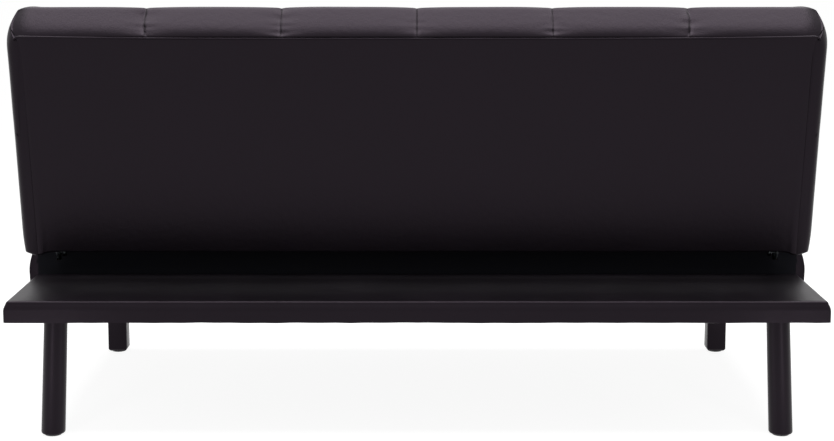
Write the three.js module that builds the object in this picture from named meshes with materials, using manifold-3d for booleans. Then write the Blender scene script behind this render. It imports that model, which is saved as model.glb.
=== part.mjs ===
// A click clack sofa bed: a box seat, a tufted back on two ratchet hinges, and a padded shelf behind the seat
// that carries the back when it lies flat. Millimetres, +Z up, the front of the sofa towards -Y.
import * as THREE from "three";
import { mergeVertices } from "three/addons/utils/BufferGeometryUtils.js";
import Module from "manifold-3d";

const wasm = await Module();
wasm.setup();

// Driving sizes of the sofa
const sofa_width = 1660;
const seat_overhang = 8;
const shelf_depth = 295;
const shelf_top = 287;
const shelf_thickness = 42.5;
const seat_depth = 560;
const seat_height = 200;
const back_to_seam = 473;
const back_crest_rise = 46;
const back_lean = 12.08;
const cushion_thickness = 115;
const hinge_behind_seat = 10.8;
const hinge_over_shelf = 89.8;
const bed_gap = 3;
const flat_rest_gap = 3;
const release_travel = 10;
const lounge_travel = 38;
const tuft_columns = 6;
const tuft_rows = 2;

// Clearances shared by many pieces
const seating_gap = 0.3;
const running_gap = 0.6;
const overrun = 5;

// Places that follow from the driving sizes. "Forward" is measured from the rear edge of the shelf.
const whole_depth = shelf_depth + seat_depth;
const yAt = (forward) => whole_depth / 2 - forward;
const hinge_forward = shelf_depth - hinge_behind_seat;
const hinge_y = yAt(hinge_forward);
const hinge_z = shelf_top + hinge_over_shelf;
const back_rear_offset = hinge_over_shelf - flat_rest_gap;
const back_foot_drop = hinge_behind_seat - bed_gap;
const seat_top = shelf_top + flat_rest_gap + cushion_thickness;
const seat_bottom = seat_top - seat_height;
const seat_width = sofa_width + 2 * seat_overhang;
const radians = (degrees) => (degrees * Math.PI) / 180;
const flat_turn = -(90 - back_lean);

// Colours and finishes
const finish = (color, roughness, metalness = 0) =>
  new THREE.MeshStandardMaterial({ color, roughness, metalness });
const leather = finish(0x2b272c, 0.42);
const dust_cloth = finish(0x1c1c1e, 0.95);
const timber = finish(0xb08a5c, 0.8);
const core_board = finish(0x9c7d58, 0.85);
const steel = finish(0x6d7370, 0.38, 0.9);
const spring_steel = finish(0x8a8f93, 0.35, 1);
const black_lacquer = finish(0x1d1a1f, 0.3);
const black_plastic = finish(0x202022, 0.55);

// The sofa's fixed body, and the back, which is built upright round the hinge and then leans
const sofa = new THREE.Group();
const back = new THREE.Group();
back.position.set(0, hinge_y, hinge_z);
back.rotation.x = radians(-back_lean);
sofa.add(back);

function piece(name, shape, material, parent = sofa) {
  const geometry = shape.isBufferGeometry ? shape : geometryOf(shape);
  const mesh = new THREE.Mesh(geometry, material);
  mesh.name = name;
  parent.add(mesh);
  return mesh;
}

// A manifold solid from a three.js geometry, and back again
function solidOf(geometry) {
  const plain = geometry.clone();
  plain.deleteAttribute("normal");
  plain.deleteAttribute("uv");
  const merged = mergeVertices(plain);
  return new wasm.Manifold(
    new wasm.Mesh({
      numProp: 3,
      vertProperties: new Float32Array(merged.attributes.position.array),
      triVerts: new Uint32Array(merged.index.array),
    }),
  );
}

function geometryOf(solid) {
  const mesh = solid.getMesh();
  const geometry = new THREE.BufferGeometry();
  geometry.setAttribute("position", new THREE.BufferAttribute(mesh.vertProperties, 3));
  geometry.setIndex(new THREE.BufferAttribute(mesh.triVerts, 1));
  geometry.computeVertexNormals();
  return geometry;
}

const cut = (body, ...tools) => tools.reduce((rest, tool) => rest.subtract(tool), body);
const join = (...bodies) => bodies.reduce((sum, body) => sum.add(body));

// A block between two corners
function block(low, high) {
  const size = high.map((value, axis) => value - low[axis]);
  const geometry = new THREE.BoxGeometry(...size);
  geometry.translate(...low.map((value, axis) => value + size[axis] / 2));
  return solidOf(geometry);
}

// A round bar along X between two places, at a point of the YZ plane
function barAlongX(from, to, [y, z], radius, sides = 20) {
  const geometry = new THREE.CylinderGeometry(radius, radius, to - from, sides);
  geometry.rotateZ(Math.PI / 2);
  geometry.translate((from + to) / 2, y, z);
  return solidOf(geometry);
}

// Orders an X range outward on one side of the sofa: side is +1 on the +X side and -1 on the other
const onSide = (side, inner, outer) => (side > 0 ? [inner, outer] : [-outer, -inner]);
const sides = [
  { side: 1, word: "right" },
  { side: -1, word: "left" },
];

// The convex outline round a set of circles, as a stamped plate has: each circle is [y, z, radius]
function outlineRound(circles, grow = 0, points_each = 18) {
  const points = circles.flatMap(([y, z, radius]) =>
    Array.from({ length: points_each }, (_, i) => {
      const turn = (i / points_each) * 2 * Math.PI;
      const reach = radius + grow;
      return [y + reach * Math.cos(turn), z + reach * Math.sin(turn)];
    }),
  );
  points.sort((a, b) => a[0] - b[0] || a[1] - b[1]);
  const turnsRight = ([a, b], c) => (b[0] - a[0]) * (c[1] - a[1]) - (b[1] - a[1]) * (c[0] - a[0]) <= 0;
  const chain = (list) =>
    list.reduce((hull, point) => {
      while (hull.length > 1 && turnsRight(hull.slice(-2), point)) hull.pop();
      hull.push(point);
      return hull;
    }, []);
  const lower = chain(points);
  const upper = chain([...points].reverse());
  return [...lower.slice(0, -1), ...upper.slice(0, -1)].map(([y, z]) => new THREE.Vector2(y, z));
}

// A plate in the YZ plane between two places on X
const plate_axes = new THREE.Matrix4().makeBasis(
  new THREE.Vector3(0, 1, 0),
  new THREE.Vector3(0, 0, 1),
  new THREE.Vector3(1, 0, 0),
);
function plateBetween([from, to], outline) {
  const geometry = new THREE.ExtrudeGeometry(new THREE.Shape(outline), {
    depth: to - from,
    bevelEnabled: false,
  });
  geometry.applyMatrix4(plate_axes);
  geometry.translate(from, 0, 0);
  return solidOf(geometry);
}

// Turns a solid about an axis along X through a point of the YZ plane
function turnedAbout(solid, [y, z], degrees) {
  return solid.translate([0, -y, -z]).rotate([degrees, 0, 0]).translate([0, y, z]);
}

// A straight rod or a bent wire along a path of points
function wireAlong(points, radius, steps, sides_round = 5) {
  const section = new THREE.Shape(
    Array.from({ length: sides_round }, (_, i) => {
      const turn = (i / sides_round) * 2 * Math.PI;
      return new THREE.Vector2(radius * Math.cos(turn), radius * Math.sin(turn));
    }),
  );
  const path = new THREE.CatmullRomCurve3(points);
  return solidOf(
    new THREE.ExtrudeGeometry(section, { extrudePath: path, steps, bevelEnabled: false }),
  );
}

// Upholstered blocks: X across, Y along, Z from the frame side up to the face, with sewn tufts in the face
const edge_turns = [30, 60].map(radians);
function gridLines(span, steps, edge) {
  const even = Array.from({ length: steps + 1 }, (_, i) => (i / steps) * span);
  const round = edge_turns.flatMap((turn) => {
    const inset = edge * (1 - Math.cos(turn));
    return [inset, span - inset];
  });
  return [...even, ...round].sort((a, b) => a - b);
}

// How deep a seam lies at a place, from 1 on a seam to 0 between two, with none at the outer edges
const seam_sharpness = 2;
function seamShare(place, span, count, edge) {
  const swell = Math.abs(Math.sin((Math.PI * count * place) / span));
  const fade = Math.min(1, Math.min(place, span - place) / edge);
  return (1 - swell) ** seam_sharpness * fade;
}

function upholsteredBlock(spec) {
  const { width, length, height, edge, columns, rows, groove, crown, walls } = spec;
  const across = gridLines(width, columns * spec.steps_per_column, edge);
  const along = gridLines(length, rows * spec.steps_per_row, edge);
  const points = [];
  const faces = [];
  const cornerShare = (a, b) => a * Math.sqrt(1 - (b * b) / 2);
  const beyond = (place, span) => {
    const centred = place - span / 2;
    return (Math.max(0, Math.abs(centred) - (span / 2 - edge)) / edge) * Math.sign(centred);
  };
  for (const y of along)
    for (const x of across) {
      const [dx, dy] = [beyond(x, width), beyond(y, length)];
      const [ex, ey] = [cornerShare(dx, dy), cornerShare(dy, dx)];
      const round_drop = edge * (1 - Math.sqrt(Math.max(0, 1 - ex * ex - ey * ey)));
      const seam = Math.max(seamShare(x, width, columns, edge), seamShare(y, length, rows, edge));
      const [cx, cy] = [(2 * x) / width - 1, (2 * y) / length - 1];
      const crown_drop = (crown * (cx ** 4 + cy ** 4)) / 2;
      const rim = Math.min(1, Math.min(1 - Math.abs(dx), 1 - Math.abs(dy)));
      points.push([
        x - width / 2 - (dx - ex) * edge,
        y - (dy - ey) * edge,
        height - round_drop - (groove * seam + crown_drop) * rim,
      ]);
    }
  const row_length = across.length;
  const at = (i, j) => j * row_length + i;
  for (let j = 0; j + 1 < along.length; j++)
    for (let i = 0; i + 1 < row_length; i++) {
      faces.push(at(i, j), at(i + 1, j), at(i + 1, j + 1));
      faces.push(at(i, j), at(i + 1, j + 1), at(i, j + 1));
    }
  const last_column = row_length - 1;
  const last_row = along.length - 1;
  let ring = [
    ...across.slice(0, -1).map((_, i) => at(i, 0)),
    ...along.slice(0, -1).map((_, j) => at(last_column, j)),
    ...across.slice(0, -1).map((_, i) => at(last_column - i, last_row)),
    ...along.slice(0, -1).map((_, j) => at(0, last_row - j)),
  ];
  const rim_points = ring.map((index) => points[index]);
  for (const share of walls.levels_share) {
    const lower = rim_points.map(([x, y]) => {
      const reach = y / length;
      const seam = seamShare(x + width / 2, width, columns, edge);
      const at_high = reach > 1 - overrun / length ? seam * walls.high_groove : 0;
      const at_low = reach < overrun / length ? seam * walls.low_groove : 0;
      points.push([
        x + (walls.side(share) * 2 * x) / width,
        y + walls.high(share) * reach - walls.low(share) * (1 - reach) - at_high + at_low,
        share * (height - edge),
      ]);
      return points.length - 1;
    });
    ring.forEach((a, i) => {
      const next = (i + 1) % ring.length;
      faces.push(a, lower[i], lower[next], a, lower[next], ring[next]);
    });
    ring = lower;
  }
  points.push([0, length / 2, 0]);
  const middle = points.length - 1;
  ring.forEach((a, i) => faces.push(middle, ring[(i + 1) % ring.length], a));
  const geometry = new THREE.BufferGeometry();
  geometry.setAttribute("position", new THREE.Float32BufferAttribute(points.flat(), 3));
  geometry.setIndex(faces);
  return geometry;
}

// Hinge sizes, round the pivot: Y runs to the rear and Z up
const pivot_radius = 6;
const ratchet_radius = 20;
const ratchet_facets = 40;
const arm_gauge = 4;
const seat_arm_bolt_forward = 60.8;
const seat_arm_bolt_drop = 76.8;
const seat_arm_second_forward = 115.8;
const seat_arm_second_drop = 121.8;
const seat_arm_head_radius = 19;
const seat_arm_tail_radius = 15;
const arm_bolt_radius = 4;
const pawl_forward = 10.2;
const pawl_drop = 40.8;
const pawl_eye_radius = 7;
const pawl_pin_radius = 3.5;
const pawl_head_radius = 3.6;
const pawl_tip_radius = 1.2;
const pawl_clear = 0.5;
const pawl_tooth_length = 6.3;
const pawl_bearing = -70;
const pawl_turn = 8.5;
const notch_clearance = 0.6;

// Frame sizes
const side_padding = 25;
const rail_thickness = 20;
const seat_padding_rear = 12;
const seat_padding_front = 22;
const seat_foam_height = 65;
const seat_frame_lift = 2;
const back_rail_depth = 50;
const back_rail_inset = 5;
const back_foot_padding = 8;
const back_top_lip = 6;
const back_rail_thickness = 22;

// The plates lie side by side outwards to the inner face of the side rails
const frame_width = sofa_width - 2 * side_padding;
const rail_inner_face = frame_width / 2 - rail_thickness;
const seat_arm_span = [rail_inner_face - arm_gauge, rail_inner_face];
const back_arm_outer = seat_arm_span[0] - running_gap;
const back_arm_span = [back_arm_outer - arm_gauge, back_arm_outer];
const rivet_head_height = 4;
const rivet_head_radius = 10;
const pawl_pin_reach = 8;
const pawl_pin_head_height = 2;
const pawl_pin_head_radius = 5.5;
const pocket_clearance = 3;
const pocket_span = [
  back_arm_span[0] - pawl_pin_reach - pawl_pin_head_height - pocket_clearance,
  rail_inner_face + rivet_head_height + pocket_clearance,
];

const pivot_place = [0, 0];
const pawl_place = [-pawl_forward, -pawl_drop];
const seat_arm_circles = [
  [0, 0, seat_arm_head_radius],
  [-pawl_forward, -pawl_drop, pawl_eye_radius + pawl_pin_radius / 2],
  [-seat_arm_bolt_forward, -seat_arm_bolt_drop, seat_arm_tail_radius],
  [-seat_arm_second_forward, -seat_arm_second_drop, seat_arm_tail_radius],
];
const back_arm_radius = 13;
const back_rail_middle = back_rear_offset - back_rail_inset - back_rail_depth / 2;
const back_arm_bolt_rises = [62, 142];
const back_arm_circles = [
  [0, 0, back_arm_radius],
  ...back_arm_bolt_rises.map((rise) => [back_rail_middle, rise, back_arm_radius]),
];
const seat_arm_bolts = [
  [-seat_arm_bolt_forward, -seat_arm_bolt_drop],
  [-seat_arm_second_forward, -seat_arm_second_drop],
];

// The pawl's outline, as circles, at rest: its tooth points at the ratchet along the pawl bearing
const pawl_direction = [Math.cos(radians(pawl_bearing)), Math.sin(radians(pawl_bearing))];
const tip_distance = ratchet_radius + pawl_clear + pawl_tip_radius;
const alongBearing = (distance) => pawl_direction.map((share) => share * distance);
const pawl_tip = [...alongBearing(tip_distance), pawl_tip_radius];
const pawl_head = [...alongBearing(tip_distance + pawl_tooth_length), pawl_head_radius];
const pawl_eye = [...pawl_place, pawl_eye_radius];

// Room that the ratchet needs for the tooth: the tooth's path as it drops in, at each stop of the back
const drop_shares = [0, 0.25, 0.5, 0.75, 1];
const notch_turns = [0, release_travel / 2, release_travel, -lounge_travel, flat_turn];
function notchTools(span) {
  return notch_turns.flatMap((turn) =>
    drop_shares.map((share) => {
      const tooth = plateBetween(span, outlineRound([pawl_tip, pawl_head], notch_clearance, 12));
      const dropped = turnedAbout(tooth, pawl_place, pawl_turn * share);
      return turnedAbout(dropped, pivot_place, -turn);
    }),
  );
}

// Pockets in foam and rails: the hinge's own outline with room round it, in each part's own frame
const pocket_points = 10;
const pocketRound = (side, circles) =>
  plateBetween(onSide(side, ...pocket_span), outlineRound(circles, pocket_clearance, pocket_points));
function seatPocket(side) {
  const arm = pocketRound(side, seat_arm_circles);
  const ratchet = pocketRound(side, [[...pivot_place, ratchet_radius]]);
  const pawl = pocketRound(side, [pawl_eye, pawl_head]);
  return join(arm, ratchet, pawl);
}
function backPocket(side) {
  const arm = pocketRound(side, back_arm_circles);
  const sweep = [0, 0.5, 1].map((share) =>
    turnedAbout(seatPocket(side), pivot_place, back_lean - flat_turn * share),
  );
  return join(arm, ...sweep);
}
const atHinge = (solid) => solid.translate([0, hinge_y, hinge_z]);

// The seat's frame: four rails, two cross rails and the cleats that the front legs are bolted to
const seat_frame_rear = yAt(shelf_depth + seat_padding_rear);
const seat_frame_front = yAt(whole_depth - seat_padding_front);
const seat_frame_bottom = seat_bottom + seat_frame_lift;
const seat_frame_top = seat_top - seat_foam_height;
const side_bay_width = 505;
const cross_rail_place = rail_inner_face - side_bay_width - rail_thickness / 2;
const tie_rail_inset = 285;
const tie_rail_place = rail_inner_face - tie_rail_inset;
const tie_rail_width = 30;
const tie_rail_height = 22;
const shelf_skin = 7;
const shelf_lip = 1.5;
const shelf_lip_width = 18;
const tie_rail_bottom = shelf_top - shelf_thickness + shelf_lip + seating_gap;
const leg_cleat_height = 24;
const leg_cleat_length = 100;
const leg_cleat_width = 96;

const tieRailHole = (side) =>
  block(
    [side * tie_rail_place - tie_rail_width / 2 - seating_gap, -whole_depth, tie_rail_bottom - seating_gap],
    [
      side * tie_rail_place + tie_rail_width / 2 + seating_gap,
      whole_depth,
      tie_rail_bottom + tie_rail_height + seating_gap,
    ],
  );

function seatFrame() {
  const rear_rail = block(
    [-rail_inner_face, seat_frame_rear - rail_thickness, seat_frame_bottom],
    [rail_inner_face, seat_frame_rear, seat_frame_top],
  );
  const hinge_notches = sides.map(({ side }) => atHinge(seatPocket(side)));
  const tie_holes = sides.map(({ side }) => tieRailHole(side));
  piece("seat_rail_rear", cut(rear_rail, ...hinge_notches, ...tie_holes), timber);
  const front_rail = block(
    [-rail_inner_face, seat_frame_front, seat_frame_bottom],
    [rail_inner_face, seat_frame_front + rail_thickness, seat_frame_top],
  );
  piece("seat_rail_front", front_rail, timber);
  for (const { side, word } of sides) {
    const [inner, outer] = onSide(side, rail_inner_face, frame_width / 2);
    const rail = block(
      [inner, seat_frame_front, seat_frame_bottom],
      [outer, seat_frame_rear, seat_frame_top],
    );
    const holes = seat_arm_bolts.map((place) =>
      atHinge(barAlongX(inner - overrun, outer + overrun, place, arm_bolt_radius + seating_gap)),
    );
    piece("seat_rail_" + word, cut(rail, ...holes), timber);
    const cross = block(
      [side * cross_rail_place - rail_thickness / 2, seat_frame_front + rail_thickness, seat_frame_bottom],
      [side * cross_rail_place + rail_thickness / 2, seat_frame_rear - rail_thickness, seat_frame_top],
    );
    piece("seat_cross_rail_" + word, cross, timber);
    const [cleat_inner, cleat_outer] = onSide(side, rail_inner_face - leg_cleat_width, rail_inner_face);
    const cleat_front = seat_frame_front + rail_thickness;
    const cleat = block(
      [cleat_inner, cleat_front, seat_frame_bottom],
      [cleat_outer, cleat_front + leg_cleat_length, seat_frame_bottom + leg_cleat_height],
    );
    piece("front_leg_cleat_" + word, cleat, timber);
  }
}

// Springs: bent wires across a bay, on an edge wire at each end. A bay is [from, to] across the sofa.
const spring_wire = 2;
const spring_amplitude = 34;
const spring_waves = 4;
const spring_points_per_wave = 6;
const spring_steps_per_wave = 8;
const springs_per_bay = 2;
function springBay([from, to], [start, end], level) {
  const ends_span = [start + spring_wire + seating_gap, end - spring_wire - seating_gap];
  const pitch = (to - from) / springs_per_bay;
  const springs = Array.from({ length: springs_per_bay }, (_, k) => {
    const middle = from + pitch * (k + 0.5);
    const count = spring_waves * spring_points_per_wave;
    const points = Array.from({ length: count + 1 }, (_, i) => {
      const sway = spring_amplitude * Math.sin((2 * Math.PI * spring_waves * i) / count);
      const run = ends_span[0] + ((ends_span[1] - ends_span[0]) * i) / count;
      return new THREE.Vector3(middle + sway, run, level);
    });
    return wireAlong(points, spring_wire, spring_waves * spring_steps_per_wave, 4);
  });
  const reach = (to - from) / 2 - seating_gap;
  const edge_wires = ends_span.map((place) => {
    const wire = barAlongX(-reach, reach, [place, level], spring_wire, 6);
    return wire.translate([(from + to) / 2, 0, 0]);
  });
  return join(...springs, ...edge_wires);
}

function seatSprings() {
  const bays = {
    left: [-rail_inner_face, -cross_rail_place - rail_thickness / 2],
    middle: [-cross_rail_place + rail_thickness / 2, cross_rail_place - rail_thickness / 2],
    right: [cross_rail_place + rail_thickness / 2, rail_inner_face],
  };
  const level = seat_frame_top - spring_wire - seating_gap;
  const span = [seat_frame_front + rail_thickness, seat_frame_rear - rail_thickness];
  const arm_room = seat_arm_span[1] - pocket_span[0] + spring_wire;
  for (const [word, [from, to]] of Object.entries(bays)) {
    const inset_from = word === "left" ? arm_room : 0;
    const inset_to = word === "right" ? arm_room : 0;
    piece("seat_springs_" + word, springBay([from + inset_from, to - inset_to], span, level), spring_steel);
  }
}

// The seat's cushion: a tufted cap of foam and cover over the frame, drawn in at the bottom
const cushion_edge = 50;
const seat_groove = 15;
const seat_crown = 6;
const seat_belly = 10;
const seat_draw_in = 12;
const front_belly = 8;
const front_seam_groove = 5;
const belly_height_share = 0.65;
function seatCushion() {
  const rise = Math.log(0.5) / Math.log(belly_height_share);
  const belly = (share) => Math.sin(Math.PI * share ** rise);
  const drawn = (share) => Math.max(0, 1 - share / belly_height_share) ** 2;
  const shell = upholsteredBlock({
    width: seat_width,
    length: seat_depth - front_belly,
    height: seat_top - seat_bottom,
    edge: cushion_edge,
    columns: tuft_columns,
    rows: tuft_rows,
    steps_per_column: 6,
    steps_per_row: 4,
    groove: seat_groove,
    crown: seat_crown,
    walls: {
      levels_share: [0.85, belly_height_share, 0.35, 0],
      high_groove: 0,
      low_groove: front_seam_groove,
      side: (share) => seat_belly * belly(share) - seat_draw_in * drawn(share),
      low: (share) => front_belly * belly(share) - front_belly * drawn(share),
      high: () => 0,
    },
  });
  shell.translate(0, yAt(whole_depth - front_belly), seat_bottom);
  const frame_room = block(
    [-frame_width / 2 - seating_gap, seat_frame_front - seating_gap, seat_bottom - overrun],
    [frame_width / 2 + seating_gap, seat_frame_rear + seating_gap, seat_frame_top + seating_gap],
  );
  const pockets = sides.map(({ side }) => atHinge(seatPocket(side)));
  const tie_holes = sides.map(({ side }) => tieRailHole(side));
  piece("seat_cushion", cut(solidOf(shell), frame_room, ...pockets, ...tie_holes), leather);
}

const cloth_thickness = 1;
const cloth_inset = 6;
function seatDustCloth() {
  const cloth = block(
    [-frame_width / 2 + cloth_inset, seat_frame_front + cloth_inset, seat_frame_bottom - cloth_thickness],
    [frame_width / 2 - cloth_inset, seat_frame_rear - cloth_inset, seat_frame_bottom],
  );
  piece("seat_dust_cloth", cloth, dust_cloth);
}

// The shelf: a core panel in a padded cover that is turned under, on two tie rails into the seat
const shelf_edge = 14;
function shelf() {
  const bottom = shelf_top - shelf_thickness;
  const flat_wall = () => 0;
  const outside = upholsteredBlock({
    width: sofa_width,
    length: shelf_depth - seating_gap,
    height: shelf_thickness,
    edge: shelf_edge,
    columns: 1,
    rows: 1,
    steps_per_column: 2,
    steps_per_row: 2,
    groove: 0,
    crown: 0,
    walls: {
      levels_share: [0.4, 0],
      high_groove: 0,
      low_groove: 0,
      side: flat_wall,
      low: flat_wall,
      high: flat_wall,
    },
  });
  outside.translate(0, yAt(shelf_depth - seating_gap), bottom);
  const half = sofa_width / 2 - shelf_skin;
  const front = yAt(shelf_depth - seating_gap - shelf_skin);
  const rear = yAt(shelf_skin);
  const room = block([-half, front, bottom + shelf_lip], [half, rear, shelf_top - shelf_skin]);
  const mouth = block(
    [-half + shelf_lip_width, front + shelf_lip_width, bottom - overrun],
    [half - shelf_lip_width, rear - shelf_lip_width, bottom + shelf_lip + overrun],
  );
  const tie_holes = sides.map(({ side }) => tieRailHole(side));
  const front_wall_only = block([-half, -whole_depth, 0], [half, front + overrun, seat_top]);
  const wall_holes = tie_holes.map((hole) => hole.intersect(front_wall_only));
  piece("shelf_cover", cut(solidOf(outside), room, mouth, ...wall_holes), leather);
  const core = block(
    [-half + seating_gap, front + seating_gap, bottom + shelf_lip + seating_gap],
    [half - seating_gap, rear - seating_gap, shelf_top - shelf_skin - seating_gap],
  );
  piece("shelf_core", cut(core, ...tie_holes), core_board);
  const cloth = block(
    [-half + cloth_inset, front + cloth_inset, bottom - cloth_thickness],
    [half - cloth_inset, rear - cloth_inset, bottom],
  );
  piece("shelf_dust_cloth", cloth, dust_cloth);
  for (const { side, word } of sides) {
    const rail = block(
      [side * tie_rail_place - tie_rail_width / 2, seat_frame_front + rail_thickness, tie_rail_bottom],
      [side * tie_rail_place + tie_rail_width / 2, rear - seating_gap, tie_rail_bottom + tie_rail_height],
    );
    piece("tie_rail_" + word, rail, steel);
  }
}

// Legs: round ones under the shelf that stand a little outwards, and square ones under the seat
const glide_height = 3;
const glide_radius = 17;
const rear_leg_top_radius = 23.7;
const rear_leg_foot_radius = 24.5;
const rear_leg_foot_round = 5;
const rear_leg_inset = 92.8;
const rear_leg_place = sofa_width / 2 - rear_leg_inset;
const rear_leg_setback = 45;
const rear_leg_splay = 2.86;
const leg_plate_height = 3;
const leg_plate_size = 54;
const front_leg_size = 45.2;
const leg_sides = 4;
const front_leg_chamfer = 4.5;
const front_leg_inset = 46.2;
const front_leg_place = rail_inner_face - front_leg_inset;
const front_leg_setback = 87.4;
function rearLegs() {
  const plate_top = shelf_top - shelf_thickness - cloth_thickness;
  const leg_top = plate_top - leg_plate_height;
  const round_steps = 4;
  const foot_curve = Array.from({ length: round_steps + 1 }, (_, i) => {
    const turn = (i / round_steps) * (Math.PI / 2);
    return new THREE.Vector2(
      rear_leg_foot_radius - rear_leg_foot_round * (1 - Math.sin(turn)),
      glide_height + rear_leg_foot_round * (1 - Math.cos(turn)),
    );
  });
  const profile = [
    new THREE.Vector2(0, glide_height),
    ...foot_curve,
    new THREE.Vector2(rear_leg_top_radius, leg_top),
    new THREE.Vector2(0, leg_top),
  ];
  for (const { side, word } of sides) {
    const leg = new THREE.LatheGeometry(profile, 28);
    leg.rotateX(Math.PI / 2);
    const lean = -side * Math.tan(radians(rear_leg_splay));
    const slant = new THREE.Matrix4().set(1, 0, lean, -lean * leg_top, 0, 1, 0, 0, 0, 0, 1, 0, 0, 0, 0, 1);
    leg.applyMatrix4(slant);
    leg.translate(side * rear_leg_place, yAt(rear_leg_setback), 0);
    piece("rear_leg_" + word, leg, black_lacquer);
    const plate = block(
      [side * rear_leg_place - leg_plate_size / 2, yAt(rear_leg_setback) - leg_plate_size / 2, leg_top],
      [side * rear_leg_place + leg_plate_size / 2, yAt(rear_leg_setback) + leg_plate_size / 2, plate_top],
    );
    piece("rear_leg_plate_" + word, plate, steel);
    const foot_x = side * (rear_leg_place + leg_top * Math.tan(radians(rear_leg_splay)));
    footGlide("rear_foot_glide_" + word, foot_x, yAt(rear_leg_setback));
  }
}

function footGlide(name, x, y) {
  const glide = new THREE.CylinderGeometry(glide_radius, glide_radius, glide_height, 24);
  glide.rotateX(Math.PI / 2);
  glide.translate(x, y, glide_height / 2);
  piece(name, glide, black_plastic);
}

function frontLegs() {
  const leg_top = seat_frame_bottom - cloth_thickness;
  const corner_reach = (front_leg_size / 2) * Math.SQRT2;
  const profile = [
    new THREE.Vector2(0, glide_height),
    new THREE.Vector2(corner_reach - front_leg_chamfer * Math.SQRT2, glide_height),
    new THREE.Vector2(corner_reach, glide_height + front_leg_chamfer),
    new THREE.Vector2(corner_reach, leg_top),
    new THREE.Vector2(0, leg_top),
  ];
  for (const { side, word } of sides) {
    const y = yAt(whole_depth - front_leg_setback);
    const leg = new THREE.LatheGeometry(profile, leg_sides);
    leg.rotateY(Math.PI / 4);
    leg.rotateX(Math.PI / 2);
    leg.translate(side * front_leg_place, y, 0);
    piece("front_leg_" + word, leg, black_lacquer);
    footGlide("front_foot_glide_" + word, side * front_leg_place, y);
  }
}

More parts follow.
